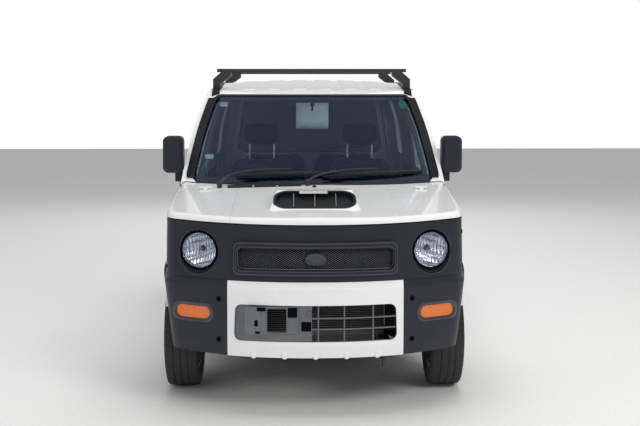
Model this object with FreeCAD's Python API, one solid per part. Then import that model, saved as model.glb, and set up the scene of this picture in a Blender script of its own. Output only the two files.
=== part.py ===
"""Five-door kei car with a three-piece bumper, round lamps in a dark front panel and exposed door hinges.

Frame: millimetres, +Z up, the car's nose points along -Y and its left side along +X.
Shapes are drawn at stations measured back from the front bumper, and moved to the middle of the length on export.
"""
import FreeCAD
import Part
import math
import os

V = FreeCAD.Vector

# Driving dimensions of the whole car
LENGTH = 3395.0
BODY_WIDTH = 1475.0
ROOF_HEIGHT = 1550.0
WHEELBASE = 2360.0
FRONT_OVERHANG = 620.0
TRACK = 1300.0
PANEL_GAP = 6.0
SEAT_CLEARANCE = 0.3
JOIN_GAP = 0.5
PIN_CLEARANCE = 0.05
HINGE_GAP = 10.0

# Stations along the car
FRONT_AXLE = FRONT_OVERHANG
REAR_AXLE = FRONT_AXLE + WHEELBASE
BONNET_REAR = FRONT_AXLE + 168.0
COWL = FRONT_AXLE + 218.0
DASH_PANEL = FRONT_AXLE + 242.0
DOOR_FRONT = FRONT_AXLE + 420.0
B_PILLAR = FRONT_AXLE + 1365.0
B_PILLAR_WIDTH = 56.0
C_PILLAR = REAR_AXLE - 235.0
ROOF_REAR = LENGTH - 145.0
REAR_FRAME_DEPTH = 72.0

# Body side, as half widths at named heights
SILL_Z = 190.0
SILL_HALF = 676.0
BELLY_Z = 500.0
BELLY_HALF = 722.0
WAIST_Z = 985.0
WAIST_HALF = 712.0
TUMBLE_Z = 1264.0
TUMBLE_HALF = 676.0
EAVE_Z = 1522.0
EAVE_HALF = 592.0
ROOF_EDGE_RADIUS = 100.0
ROOF_CROWN_RADIUS = 7000.0

# Nose, seen from above
NOSE_FLAT = 340.0
NOSE_RADIUS = 1150.0
NOSE_CORNER_RADIUS = 100.0
NOSE_TAPER = 0.147
BUMPER_STRAIGHT = 450.0
WING_STRAIGHT = 390.0
NOSE_SWEEP = math.tan(math.radians(31.15))
FASCIA_SETBACK = 20.0
NOSE_LEAN = 0.07
BONNET_NOSE_Z = 905.0
BONNET_SLOPE = 0.104
BONNET_CROWN_DROP = 18.0
SPLIT_RISE = 0.045
SHOULDER_RADIUS = 30.0

# Windscreen
SCREEN_BASE_Z = 990.0
SCREEN_RAKE = math.radians(40.35)
SCREEN_RADIUS = 2300.0
SCREEN_THICKNESS = 6.0
HEADER_S = COWL + 562.0

# Wall thicknesses
SKIN = 18.0
FRAME_WALL = 55.0
DOOR_SKIN = 22.0
DOOR_THICKNESS = 60.0
DOOR_INNER_INSET = 26.0
FRAME_LIP = 12.0
GLASS = 5.0
ROOF_WALL = 22.0
BUMPER_WALL = 20.0
BUMPER_DECK = 72.0
FASCIA_WALL = 24.0

# Wheels
RIM_RADIUS = 177.8
TYRE_RADIUS = 268.5
TYRE_WIDTH = 165.0
ARCH_RADIUS = 330.0
ARCH_BAND = 50.0
ARCH_LOW = 225.0
ARCH_TUCK = 40.0
WHEEL_X = TRACK / 2
HUB_RADIUS = 14.0
KINGPIN_X = 590.0
BALL_Z = 200.0
BALL_PIN = 9.0
STRUT_Z = 400.0
STRUT_RADIUS = 19.0
RAIL_X0 = 300.0
RAIL_X1 = 350.0
RAIL_Z0 = 262.0
RAIL_Z1 = 322.0
TOW_X = 312.0
TOW_HOLE = 12.0
PIPE_RADIUS = 17.0
STEER_ARM = 90.0

LINER_RADIUS = ARCH_RADIUS + 10.0
LINER_REAR = FRONT_AXLE + LINER_RADIUS + SEAT_CLEARANCE
KINGPIN_LEAN = math.radians(12.0)

# Front end, as heights and half widths
BUMPER_TOP = 620.0
BUMPER_BOTTOM = 270.0
BUMPER_TUCK = 31.0
REAR_BUMPER_TOP = 598.0
FASCIA_TOP = 874.0
LAMP_X = 540.0
LAMP_Z = 747.0
LAMP_RADIUS = 81.0
LAMP_POT = 90.0
LAMP_TURN = 14.0
LAMP_DEPTH = 85.0
DISH_SLOPE = 0.7
GRILLE_Z = 722.0
GRILLE_HALF = 360.0
GRILLE_HALF_HEIGHT = 49.0
CENTRE_HALF = 403.0
INTAKE_HALF = 374.0
INTAKE_TOP = 517.0
INTAKE_BOTTOM = 348.0

FASCIA_REAR = 330.0
LAMP_S = 166.0
INDICATOR_X = 567.0
BUMP_X = (-282.0, -141.0, 0.0, 141.0, 282.0)
BUMP_FLAT = 20.0
BUMP_LENGTH = 26.0
GRILLE_FRONT = 30.0
MESH_X = 18.0
MESH_Z = 12.0
MESH_OPEN = 0.82
MESH_EDGE = 10.0
SLAT_Z = (407.0, 457.0)
SLAT_THICK = 6.0
SLAT_X = (12.0, 130.0, 262.0)

# Doors, windows and tailgate
A_PILLAR_SLOPE = 0.92
DOOR_BOTTOM = 245.0
DOOR_BELT = 935.0
DOOR_TOP = 1462.0
WINDOW_SILL = 1005.0
WINDOW_TOP = 1420.0
HANDLE_Z = 905.0
HINGE_HEIGHTS = (430.0, 800.0)
HINGE_X = 727.0
HINGE_RADIUS = 6.5
HINGE_PIN = 3.0
HINGE_HEIGHT = 72.0
HINGE_LEAF = 52.0
SCREEN_BASE_HALF = 655.0
SCREEN_MID_HALF = 612.0
SCREEN_TOP_HALF = 556.0
SCREEN_TOP_Z = 1456.0
ROOF_SEAM = 540.0
RIB_X = (-375.0, -225.0, -75.0, 75.0, 225.0, 375.0)
RIB_HALF = 42.0
RIB_RISE = 4.0
SILL_INNER = 598.0
FLOOR_PLATE = 14.0
WING_SHELF = 905.0
REAR_WALL = 55.0
REAR_SKIRT_Z = 420.0
TAILGATE_LOW_HALF = 592.0
TAILGATE_MID_HALF = 600.0
TAILGATE_TOP_HALF = 530.0
TAILGATE_BOTTOM = 610.0
TAILGATE_TOP = 1492.0
REAR_LAMP_X = 648.0
PLATE_SPACING = 210.0
PLATE_HOLE = 3.3
REAR_PLATE_Z = 790.0
FRONT_PLATE_X = -200.0
FRONT_PLATE_Z = 500.0
BRACKET_S = 6.0
BRACKET_THICK = 4.0
TAILGATE_HINGE_X = 330.0
TAILGATE_HINGE_Z = 1495.0
TAILGATE_HINGE_S = ROOF_REAR + 8.0
TAIL = LENGTH - 48.0
TAIL_Z = 600.0
TAIL_WAIST = LENGTH - 56.0
TAIL_WAIST_Z = 960.0
TAIL_CORNER = 75.0
TAIL_BOW = 10.0
TAIL_APEX = 0.6

# Fittings
MIRROR_X0 = 708.0
MIRROR_X1 = 818.0
MIRROR_S = 1085.0
MIRROR_Z = 1134.0
MIRROR_HEIGHT = 200.0
MIRROR_DEPTH = 95.0
RACK_FRONT = 1650.0
RACK_REAR = 2750.0
RACK_Z = 1589.0
RACK_THICK = 20.0
RACK_HALF = 560.0
WIPER_X = (-490.0, -30.0)
STEERING_X = -312.0
STEERING_S = 1330.0
STEERING_Z = 905.0
STEERING_RADIUS = 182.5
STEERING_TILT = 62.0
COLUMN_PIN = 14.0
FLOOR_Z = 205.0
REAR_FLOOR_Z = 410.0
LINER_INNER = 408.0
HOUSE_INNER = 513.0
SPOKES = 6
RIM_HALF = 68.0
HUB_FACE = 38.0

# Scoop on the bonnet
SCOOP_FRONT = 212.0
SCOOP_LENGTH = 560.0
SCOOP_RAMP = 185.0
SCOOP_HALF = 222.0
SCOOP_RISE = 58.0
SCOOP_MOUTH_HALF = 202.0
SCOOP_DEPTH = 24.0
BONNET_HINGE_X = 560.0
BONNET_HINGE_S = BONNET_REAR + 3.0
BONNET_HINGE_Z = 981.0

PARTS = {}


def side(s_offset=0.0, x=0.0):
    """Maps (station, height) to a side view plane at x."""
    return lambda u, v: V(x, u + s_offset, v)


def front(s=0.0):
    """Maps (x, height) to a plane across the car at a station."""
    return lambda u, v: V(u, s, v)


def plan(z=0.0):
    """Maps (x, station) to a level plane."""
    return lambda u, v: V(u, v, z)


def mirrored(points):
    """Closes a half outline by mirroring it in u = 0; points run up the positive side."""
    return points + [(-u, v, r) for u, v, r in reversed(points) if abs(u) > 1e-6]


def inset(points, t):
    """Moves every edge of a closed outline inwards by t and trims its corner radii."""
    if not t:
        return points
    n = len(points)
    area = sum(points[i - 1][0] * points[i][1] - points[i][0] * points[i - 1][1] for i in range(n))
    turn = 1.0 if area > 0 else -1.0
    moved = []
    for i in range(n):
        (ax, ay, _), (bx, by, r), (cx, cy, _) = points[i - 1], points[i], points[(i + 1) % n]
        d1 = V(bx - ax, by - ay, 0).normalize()
        d2 = V(cx - bx, cy - by, 0).normalize()
        n1 = V(-d1.y, d1.x, 0) * turn
        n2 = V(-d2.y, d2.x, 0) * turn
        k = t / (1.0 + n1.dot(n2))
        cross = (d1.x * d2.y - d1.y * d2.x) * turn
        radius = max(r - t, 8.0) if cross > 0 else r + t
        moved.append((bx + (n1.x + n2.x) * k, by + (n1.y + n2.y) * k, radius if r > 0 else 0.0))
    return moved


def outline(points, to3d):
    """Closed wire through (u, v, corner radius) points."""
    corners = []
    n = len(points)
    for i in range(n):
        before, corner, after = (V(*points[j][:2], 0) for j in (i - 1, i, (i + 1) % n))
        r = points[i][2]
        a = (before - corner).normalize()
        b = (after - corner).normalize()
        angle = a.getAngle(b)
        if r <= 0 or math.pi - angle < 1e-4:
            corners.append((corner, corner, corner))
            continue
        run = r / math.tan(angle / 2)
        middle = corner + (a + b).normalize() * (r / math.sin(angle / 2) - r)
        corners.append((corner + a * run, middle, corner + b * run))
    edges = []
    for i in range(n):
        start, middle, end = corners[i]
        if (start - end).Length > 1e-6:
            arc = Part.Arc(to3d(start.x, start.y), to3d(middle.x, middle.y), to3d(end.x, end.y))
            edges.append(arc.toShape())
        following = corners[(i + 1) % n][0]
        if (end - following).Length > 1e-3:
            edges.append(Part.LineSegment(to3d(end.x, end.y), to3d(following.x, following.y)).toShape())
    return Part.Wire(edges)


def prism(points, to3d, direction):
    """Solid swept from a closed outline."""
    return Part.Face(outline(points, to3d)).extrude(direction)


def box(x0, x1, s0, s1, z0, z1):
    """Box between two corners."""
    return Part.makeBox(x1 - x0, s1 - s0, z1 - z0, V(x0, s0, z0))


def rounded_box(x0, x1, s0, s1, z0, z1, r):
    """Box with every edge rounded."""
    b = box(x0, x1, s0, s1, z0, z1)
    return b.makeFillet(r, b.Edges)


def rod(a, b, r):
    """Round bar between two points."""
    return Part.makeCylinder(r, (b - a).Length, a, b - a)


def bar(points, r):
    """Round bar through points, with ball corners."""
    pieces = [rod(points[i], points[i + 1], r) for i in range(len(points) - 1)]
    pieces += [Part.makeSphere(r, p) for p in points[1:-1]]
    return fused(pieces)


def fused(pieces):
    """One shape from several that overlap."""
    return pieces[0].multiFuse(pieces[1:]) if len(pieces) > 1 else pieces[0]


def flipped(shape):
    """The same shape on the other side of the car."""
    return shape.mirror(V(0, 0, 0), V(1, 0, 0))


def both(shape):
    """A shape and its mirror image, as two solids."""
    return Part.makeCompound([shape, flipped(shape)])


def side_wall(z):
    """Half width of the body's side at a height between sill and waist."""
    if z < BELLY_Z:
        return SILL_HALF + (BELLY_HALF - SILL_HALF) * (z - SILL_Z) / (BELLY_Z - SILL_Z)
    return BELLY_HALF + (WAIST_HALF - BELLY_HALF) * (z - BELLY_Z) / (WAIST_Z - BELLY_Z)


def section(t=0.0, s0=700.0, s1=LENGTH + 100.0):
    """The body's cross-section, swept along the car and inset by t."""
    half = [
        (SILL_HALF, SILL_Z, 25.0),
        (BELLY_HALF, BELLY_Z, 700.0),
        (WAIST_HALF, WAIST_Z, 60.0),
        (TUMBLE_HALF, TUMBLE_Z, 600.0),
        (EAVE_HALF, EAVE_Z, ROOF_EDGE_RADIUS),
        (0.0, ROOF_HEIGHT, ROOF_CROWN_RADIUS),
    ]
    return prism(inset(mirrored(half), t), front(s0), V(0, s1 - s0, 0))


def screen_line(z):
    """Station of the windscreen on the centreline at a height."""
    return COWL + (z - SCREEN_BASE_Z) / math.tan(SCREEN_RAKE)


def cabin_profile(t=0.0):
    """The cabin seen from the side, swept across the car."""
    points = [
        (COWL, SILL_Z, 0.0),
        (COWL, SCREEN_BASE_Z, 0.0),
        (HEADER_S, SCREEN_BASE_Z + (HEADER_S - COWL) * math.tan(SCREEN_RAKE), 300.0),
        (HEADER_S + 900.0, ROOF_HEIGHT + 12.0, 3000.0),
        (ROOF_REAR - 450.0, ROOF_HEIGHT + 12.0, 3000.0),
        (ROOF_REAR, ROOF_HEIGHT - 14.0, 85.0),
        (TAIL_WAIST, TAIL_WAIST_Z, 120.0),
        (TAIL, TAIL_Z, 0.0),
        (TAIL, SILL_Z, 0.0),
    ]
    return prism(inset(points, t), side(x=-900.0), V(1800, 0, 0))


def tail_corners(t=0.0):
    """Tapered block whose rounded rear corners trim the cabin's."""
    lean = (ROOF_REAR - TAIL_WAIST) / (ROOF_HEIGHT - 14.0 - TAIL_WAIST_Z)
    tumble = (EAVE_HALF - TUMBLE_HALF) / (EAVE_Z - TUMBLE_Z)
    swell = (WAIST_HALF - BELLY_HALF) / (WAIST_Z - BELLY_Z)
    tuck = (BELLY_HALF - SILL_HALF) / (BELLY_Z - SILL_Z)
    levels = (
        (100.0, SILL_HALF + (100.0 - SILL_Z) * tuck, TAIL),
        (BELLY_Z, BELLY_HALF, TAIL),
        (TAIL_Z, BELLY_HALF + (TAIL_Z - BELLY_Z) * swell, TAIL),
        (TAIL_WAIST_Z, BELLY_HALF + (TAIL_WAIST_Z - BELLY_Z) * swell, TAIL_WAIST),
        (WAIST_Z, WAIST_HALF, TAIL_WAIST + (WAIST_Z - TAIL_WAIST_Z) * lean),
        (TUMBLE_Z, TUMBLE_HALF, TAIL_WAIST + (TUMBLE_Z - TAIL_WAIST_Z) * lean),
        (1620.0, TUMBLE_HALF + (1620.0 - TUMBLE_Z) * tumble, TAIL_WAIST + (1620.0 - TAIL_WAIST_Z) * lean),
    )
    wires = []
    for z, half, back in levels:
        corner = [(half + 0.5 - t, 2700.0, 0.0), (half + 0.5 - t, back + 0.5 - t, max(TAIL_CORNER - t, 12.0))]
        wires.append(outline(mirrored(corner), plan(z)))
    return Part.makeLoft(wires, True, True)


def tail_zone(grow=0.0):
    """Space of the rear frame, a slice as deep as the frame along the tail's own line."""
    depth = REAR_FRAME_DEPTH + grow
    lean = (ROOF_REAR - TAIL_WAIST) / (ROOF_HEIGHT - 14.0 - TAIL_WAIST_Z)
    points = [
        (TAIL - depth, 100.0, 0.0),
        (TAIL - depth, TAIL_Z, 0.0),
        (TAIL_WAIST - depth, TAIL_WAIST_Z, 0.0),
        (TAIL_WAIST - depth + (1700.0 - TAIL_WAIST_Z) * lean, 1700.0, 0.0),
        (LENGTH + 100.0, 1700.0, 0.0),
        (LENGTH + 100.0, 100.0, 0.0),
    ]
    return prism(points, side(x=-900.0), V(1800, 0, 0))


def screen(t=0.0):
    """Everything behind the curved windscreen surface, which is part of a big raked cylinder."""
    along = V(0, math.cos(SCREEN_RAKE), math.sin(SCREEN_RAKE))
    inwards = V(0, math.sin(SCREEN_RAKE), -math.cos(SCREEN_RAKE))
    centre = V(0, COWL, SCREEN_BASE_Z) + inwards * SCREEN_RADIUS
    cylinder = Part.makeCylinder(SCREEN_RADIUS - t, 8000)
    turn = FreeCAD.Rotation(inwards, V(), along, "ZXY")
    cylinder.Placement = FreeCAD.Placement(centre - along * 4000, turn)
    return cylinder


def nose_outline(half_width, setback, straight, t=0.0):
    """The nose from above: a bowed front, swept corners and sides that taper ahead of a station."""
    reach = half_width - NOSE_FLAT - NOSE_TAPER * straight
    corner = (setback + reach * NOSE_SWEEP) / (1.0 - NOSE_TAPER * NOSE_SWEEP)
    points = [
        (NOSE_FLAT, setback, NOSE_RADIUS),
        (half_width - NOSE_TAPER * (straight - corner), corner, NOSE_CORNER_RADIUS),
        (half_width, straight, 300.0),
        (half_width, 1400.0, 0.0),
    ]
    return inset(mirrored(points), t)


def nose(levels, straight, t=0.0):
    """Ruled solid through (height, half width, setback) levels of the nose outline."""
    wires = [outline(nose_outline(w, s, straight, t), plan(z)) for z, w, s in levels]
    return Part.makeLoft(wires, True, True)


def wing_wall(z):
    """Half width of the front wings, whose plane carries on from the doors."""
    return BELLY_HALF + (WAIST_HALF - BELLY_HALF) * (z - BELLY_Z) / (WAIST_Z - BELLY_Z)


def bonnet_height(s, x=0.0):
    """Height of the bonnet's surface."""
    return BONNET_NOSE_Z + BONNET_SLOPE * s - BONNET_CROWN_DROP * abs(x) / 700.0


def front_body(t=0.0):
    """Bonnet, wings and front panel as one solid, with rolled shoulders."""
    levels = [(z, wing_wall(z), FASCIA_SETBACK + NOSE_LEAN * (z - BUMPER_TOP)) for z in (150.0, 1150.0)]
    half = [(900.0, -500.0, 0.0), (900.0, bonnet_height(0, 900.0), 0.0), (0.0, bonnet_height(0), 5000.0)]
    top = prism(inset(mirrored(half), t), front(), V(0, 1400, 1400 * BONNET_SLOPE))
    solid = nose(levels, WING_STRAIGHT, t).common(top)
    if t > SHOULDER_RADIUS / 3:
        return solid
    rim = [
        e for e in solid.Edges
        if e.BoundBox.ZMin > 820.0 and e.CenterOfMass.z < 1130.0
        and e.BoundBox.YMax < 1399.0 + 5 and type(e.Curve).__name__ != "Line"
        and e.BoundBox.YMin < 1300.0 and e.BoundBox.ZLength < 160
    ]
    return solid.makeFillet(SHOULDER_RADIUS - t, rim)


def front_shape(t=0.0):
    """The front body with the sills' tuck-under, inset by t."""
    return front_body(t).common(section(t, -60.0, 1300.0))


def hull(t=0.0):
    """The cabin's closed shape inset by t; a fraction more where the exact one can't be built."""
    for extra in (0.0, 0.3, 0.6, 0.9):
        inner = t + extra
        solid = section(inner).common(cabin_profile(inner)).common(screen(inner))
        back = box(-900.0, 900.0, 2900.0, LENGTH + 100.0, 0.0, 1800.0)
        solid = solid.cut(back).fuse(solid.common(back).common(tail_corners(inner))).removeSplitter()
        if solid.isValid():
            return solid
    return solid


def stored(make, cache={}):
    """Keeps hulls by inset, since each is used several times."""
    def get(t=0.0):
        key = (make.__name__, t)
        if key not in cache:
            cache[key] = make(t)
        return cache[key]
    return get


hull = stored(hull)
front_shape = stored(front_shape)


def wheel_cylinder(axle, radius, x0=-900.0, x1=900.0):
    """Round bar across the car at an axle."""
    return Part.makeCylinder(radius, x1 - x0, V(x0, axle, TYRE_RADIUS), V(1, 0, 0))


def above_split(gap, far=0.0):
    """Space above the shut line between bonnet and wings, shifted up by gap and longer by far."""
    z = FASCIA_TOP + gap
    s1 = BONNET_REAR + far
    points = [(-50.0, z - 50.0 * SPLIT_RISE, 0.0), (s1, z + SPLIT_RISE * s1, 0.0), (s1, 1400.0, 0.0), (-50.0, 1400.0, 0.0)]
    return prism(points, side(x=-900.0), V(1800, 0, 0))


def door_outline(which, grow=0.0):
    """Outline of a side door, as (station, height, radius)."""
    rise = (DOOR_TOP - DOOR_BELT) / A_PILLAR_SLOPE
    if which == "front":
        points = [
            (DOOR_FRONT, DOOR_BOTTOM, 40.0),
            (DOOR_FRONT, DOOR_BELT, 60.0),
            (DOOR_FRONT + rise, DOOR_TOP, 40.0),
            (B_PILLAR - B_PILLAR_WIDTH / 2, DOOR_TOP, 40.0),
            (B_PILLAR - B_PILLAR_WIDTH / 2, DOOR_BOTTOM, 40.0),
        ]
    else:
        points = [
            (B_PILLAR + B_PILLAR_WIDTH / 2, DOOR_BOTTOM, 40.0),
            (B_PILLAR + B_PILLAR_WIDTH / 2, DOOR_TOP, 40.0),
            (C_PILLAR, DOOR_TOP, 50.0),
            (C_PILLAR, DOOR_BOTTOM, 0.0),
        ]
    return inset(points, -grow)


def door_prism(which, grow=0.0):
    """The left door's outline swept through the body side."""
    solid = prism(door_outline(which, grow), side(x=380.0), V(520, 0, 0))
    if which == "rear":
        solid = solid.cut(wheel_cylinder(REAR_AXLE, ARCH_RADIUS + ARCH_BAND + 8.0 - grow, 300.0))
    return solid


def window_outline(which, grow=0.0):
    """Outline of a side window."""
    rise = (WINDOW_TOP - WINDOW_SILL) / A_PILLAR_SLOPE
    start = DOOR_FRONT + (WINDOW_SILL - DOOR_BELT) / A_PILLAR_SLOPE + 78.0
    edges = {
        "front": [(start, WINDOW_SILL, 15.0), (start + rise, WINDOW_TOP, 25.0),
                  (B_PILLAR - 82.0, WINDOW_TOP, 25.0), (B_PILLAR - 82.0, WINDOW_SILL, 25.0)],
        "rear": [(B_PILLAR + 84.0, WINDOW_SILL, 25.0), (B_PILLAR + 84.0, WINDOW_TOP, 25.0),
                 (C_PILLAR - 55.0, WINDOW_TOP, 25.0), (C_PILLAR - 55.0, WINDOW_SILL, 25.0)],
        "quarter": [(C_PILLAR + 72.0, WINDOW_SILL + 20.0, 35.0), (C_PILLAR + 72.0, WINDOW_TOP - 4.0, 35.0),
                    (ROOF_REAR - 150.0, WINDOW_TOP - 4.0, 35.0),
                    (ROOF_REAR - 88.0, WINDOW_SILL + 20.0, 35.0)],
    }
    return inset(edges[which], -grow)


def window_prism(which, grow=0.0):
    """The left window's outline swept through the body side."""
    return prism(window_outline(which, grow), side(x=380.0), V(520, 0, 0))


def screen_prism(grow=0.0):
    """The windscreen's outline in the front view, swept back."""
    half = [(SCREEN_BASE_HALF, SCREEN_BASE_Z + 2.0, 45.0), (SCREEN_MID_HALF, TUMBLE_Z, 1200.0),
            (SCREEN_TOP_HALF, SCREEN_TOP_Z, 60.0)]
    return prism(inset(mirrored(half), -grow), front(780.0), V(0, 900, 0))


def tailgate_prism(grow=0.0):
    """The tailgate's outline in the rear view, swept along the car."""
    half = [(TAILGATE_LOW_HALF, TAILGATE_BOTTOM, 30.0), (TAILGATE_MID_HALF, WAIST_Z, 400.0),
            (TAILGATE_TOP_HALF, TAILGATE_TOP, 60.0)]
    return prism(inset(mirrored(half), -grow), front(LENGTH - 330.0), V(0, 400, 0))


def rear_window_prism(grow=0.0):
    """The rear window's outline in the rear view, swept along the car."""
    half = [(TAILGATE_MID_HALF - 60.0, WINDOW_SILL + 10.0, 45.0), (TAILGATE_TOP_HALF - 52.0, TAILGATE_TOP - 80.0, 55.0)]
    return prism(inset(mirrored(half), -grow), front(LENGTH - 330.0), V(0, 400, 0))


def make_side_frames():
    """Sill, pillars and cant rail of each side, open at the doors and windows."""
    wall = hull().cut(hull(FRAME_WALL))
    zone = box(SILL_INNER, 900.0, DASH_PANEL, LENGTH, 100.0, 700.0)
    zone = zone.fuse(box(ROOF_SEAM, 900.0, DASH_PANEL, LENGTH, 699.0, 1600.0))
    frame = wall.common(zone).cut(tail_zone(JOIN_GAP))
    wing_zone = box(300.0, 900.0, 0.0, DOOR_FRONT - PANEL_GAP, 0.0, 1300.0)
    frame = frame.cut(front_shape(-4.0).cut(front_shape(SKIN + JOIN_GAP)).common(wing_zone))
    frame = frame.cut(front_shape(-4.0).common(box(300.0, 900.0, 0.0, DOOR_FRONT - PANEL_GAP, WING_SHELF, 1300.0)))
    frame = frame.cut(box(300.0, WAIST_HALF - FRAME_WALL, 0.0, DASH_PANEL + FRAME_WALL + 40.0, 0.0, WING_SHELF + 60.0))
    frame = frame.cut(screen_prism(4.0))
    frame = frame.cut(wheel_cylinder(FRONT_AXLE, ARCH_RADIUS + 20.0))
    frame = frame.cut(wheel_cylinder(REAR_AXLE, ARCH_RADIUS + 12.0))
    flange_zone = hull(DOOR_SKIN + 4.0)
    for which in ("front", "rear"):
        frame = frame.cut(door_prism(which, PANEL_GAP).cut(flange_zone)).cut(door_prism(which, -FRAME_LIP))
    frame = frame.cut(window_prism("quarter", 0.3))
    for leaf in hinge_halves(B_PILLAR + B_PILLAR_WIDTH / 2 - PANEL_GAP / 2)[1]:
        frame = frame.fuse(leaf)
    PARTS["side_frames"] = both(frame)


def make_door(which):
    """One left door: an outer skin with a rabbeted inner box, its window cut out."""
    skin = hull().cut(hull(DOOR_SKIN)).common(door_prism(which))
    core = hull(DOOR_SKIN - 0.5).cut(hull(DOOR_THICKNESS)).common(door_prism(which, -DOOR_INNER_INSET))
    return skin.fuse(core).cut(window_prism(which)).removeSplitter()


def make_door_glass(which):
    """One left door's window glass, let into the frame's edge."""
    return hull(11.0).cut(hull(11.0 + GLASS)).common(window_prism(which, -SEAT_CLEARANCE))


def make_handle(s):
    """A pull handle standing on two feet."""
    x = side_wall(HANDLE_Z)
    grip = box(x + 24.0, x + 37.0, s - 80.0, s + 80.0, HANDLE_Z - 13.0, HANDLE_Z + 13.0)
    feet = [box(x - 4.0, x + 30.0, s + a, s + a + 24.0, HANDLE_Z - 11.0, HANDLE_Z + 11.0) for a in (-78.0, 54.0)]
    return fused([grip] + feet)


def hinge_halves(s):
    """Exposed hinges on the axis at station s: (leaves on the door, leaves and pins on the body)."""
    door_side = []
    body_side = []
    half = HINGE_HEIGHT / 2
    third = HINGE_HEIGHT / 6
    for z in HINGE_HEIGHTS:
        pin = Part.makeCylinder(HINGE_PIN, HINGE_HEIGHT - 4.0, V(HINGE_X, s, z - half + 2.0), V(0, 0, 1))
        for direction, low, high in ((1, -third + 0.4, third - 0.4), (-1, -half, -third), (-1, third, half)):
            s0, s1 = sorted((s, s + direction * HINGE_LEAF))
            inner = box(500.0, HINGE_X + HINGE_RADIUS, s0, s1, z + low, z + high)
            leaf = inner.common(section(-5.0, s - 90.0, s + 90.0))
            clear = s + direction * PANEL_GAP / 2
            s0, s1 = sorted((clear, s + direction * HINGE_LEAF))
            leaf = leaf.common(box(side_wall(z) - 9.0, 900.0, s0, s1, 0.0, 1500.0))
            s0, s1 = sorted((s, s + direction * 9.0))
            web = box(HINGE_X - HINGE_RADIUS, HINGE_X, s0, s1, z + low, z + high)
            web = web.fuse(box(side_wall(z) - 9.0, HINGE_X, *sorted((clear, s + direction * 9.0)), z + low, z + high))
            barrel = Part.makeCylinder(HINGE_RADIUS, high - low, V(HINGE_X, s, z + low), V(0, 0, 1))
            part = leaf.fuse([web, barrel])
            if direction > 0:
                door_side.append(part.cut(Part.makeCylinder(HINGE_PIN + PIN_CLEARANCE, 200, V(HINGE_X, s, z - 100), V(0, 0, 1))))
            else:
                body_side.append(part.fuse(pin))
    return door_side, body_side


def make_doors():
    """Doors with their glass, handles and hinge leaves."""
    for which, front_edge, rear_edge in (
            ("front", DOOR_FRONT, B_PILLAR - B_PILLAR_WIDTH / 2),
            ("rear", B_PILLAR + B_PILLAR_WIDTH / 2, C_PILLAR)):
        leaves = hinge_halves(front_edge - PANEL_GAP / 2)[0]
        door = make_door(which).fuse([make_handle(rear_edge - 120.0)] + leaves)
        glass = make_door_glass(which)
        PARTS["door_" + which + "_left"] = door
        PARTS["door_" + which + "_right"] = flipped(door)
        PARTS["glass_" + which + "_left"] = glass
        PARTS["glass_" + which + "_right"] = flipped(glass)


def make_mirrors():
    """Door mirrors on short stalks, their feet on the corners of the front doors."""
    low = MIRROR_Z - MIRROR_HEIGHT / 2
    high = MIRROR_Z + MIRROR_HEIGHT / 2
    shell = box(MIRROR_X0, MIRROR_X1, MIRROR_S, MIRROR_S + MIRROR_DEPTH, low, high)
    long_edges = [e for e in shell.Edges if e.BoundBox.YLength > 50.0]
    shell = shell.makeFillet(30.0, long_edges)
    shell = shell.makeChamfer(16.0, [e for e in shell.Edges if e.BoundBox.YMax < MIRROR_S + 1.0])
    glass = box(MIRROR_X0 + 9.0, MIRROR_X1 - 9.0, MIRROR_S + MIRROR_DEPTH - 9.0, MIRROR_S + MIRROR_DEPTH, low + 9.0, high - 9.0)
    shell = shell.cut(glass.makeFillet(22.0, [e for e in glass.Edges if e.BoundBox.YLength > 5.0]))
    foot = section(-16.0, 700.0, 1500.0).cut(section(-SEAT_CLEARANCE, 600.0, 1600.0))
    foot = foot.common(box(600.0, 800.0, MIRROR_S + 30.0, MIRROR_S + 96.0, 948.0, 1018.0))
    foot = foot.common(door_prism("front", -2.0))
    stalk = box(MIRROR_X0 + 8.0, MIRROR_X0 + 46.0, MIRROR_S + 38.0, MIRROR_S + 78.0, 985.0, low + 20.0)
    PARTS["mirror_left"] = fused([shell, stalk, foot])
    PARTS["mirror_right"] = flipped(PARTS["mirror_left"])


def make_roof():
    """Roof panel with raised ribs, from the windscreen header to the rear frame."""
    wall = hull().cut(hull(ROOF_WALL))
    edge = ROOF_SEAM - JOIN_GAP
    zone = box(-edge, edge, COWL, LENGTH, SCREEN_TOP_Z - 80.0, 1600.0)
    roof = wall.common(zone).cut(tail_zone(JOIN_GAP)).cut(screen_prism(4.0))
    rise = hull(-RIB_RISE).cut(hull(2.0))
    for x in RIB_X:
        rib = box(x - RIB_HALF, x + RIB_HALF, HEADER_S + 190.0, ROOF_REAR - 150.0, 1400.0, 1600.0)
        roof = roof.fuse(rise.common(rib.makeFillet(30.0, [e for e in rib.Edges if e.BoundBox.ZLength > 50.0])))
    PARTS["roof_panel"] = roof


def make_rear_panel():
    """Frame around the tailgate with the rear corners."""
    ring = hull().cut(hull(REAR_WALL)).common(tail_zone())
    ring = ring.cut(tailgate_prism(PANEL_GAP).cut(hull(DOOR_SKIN + 4.0)))
    ring = ring.cut(tailgate_prism(-FRAME_LIP))
    ring = ring.cut(wheel_cylinder(REAR_AXLE, ARCH_RADIUS + 12.0))
    ring = ring.cut(lamp_prism(0.0)).cut(flipped(lamp_prism(0.0)))
    ring = ring.cut(box(-900.0, 900.0, LENGTH - 200.0, LENGTH, 100.0, REAR_SKIRT_Z))
    PARTS["rear_panel"] = ring.fuse(tailgate_hinges()[1])


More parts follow.
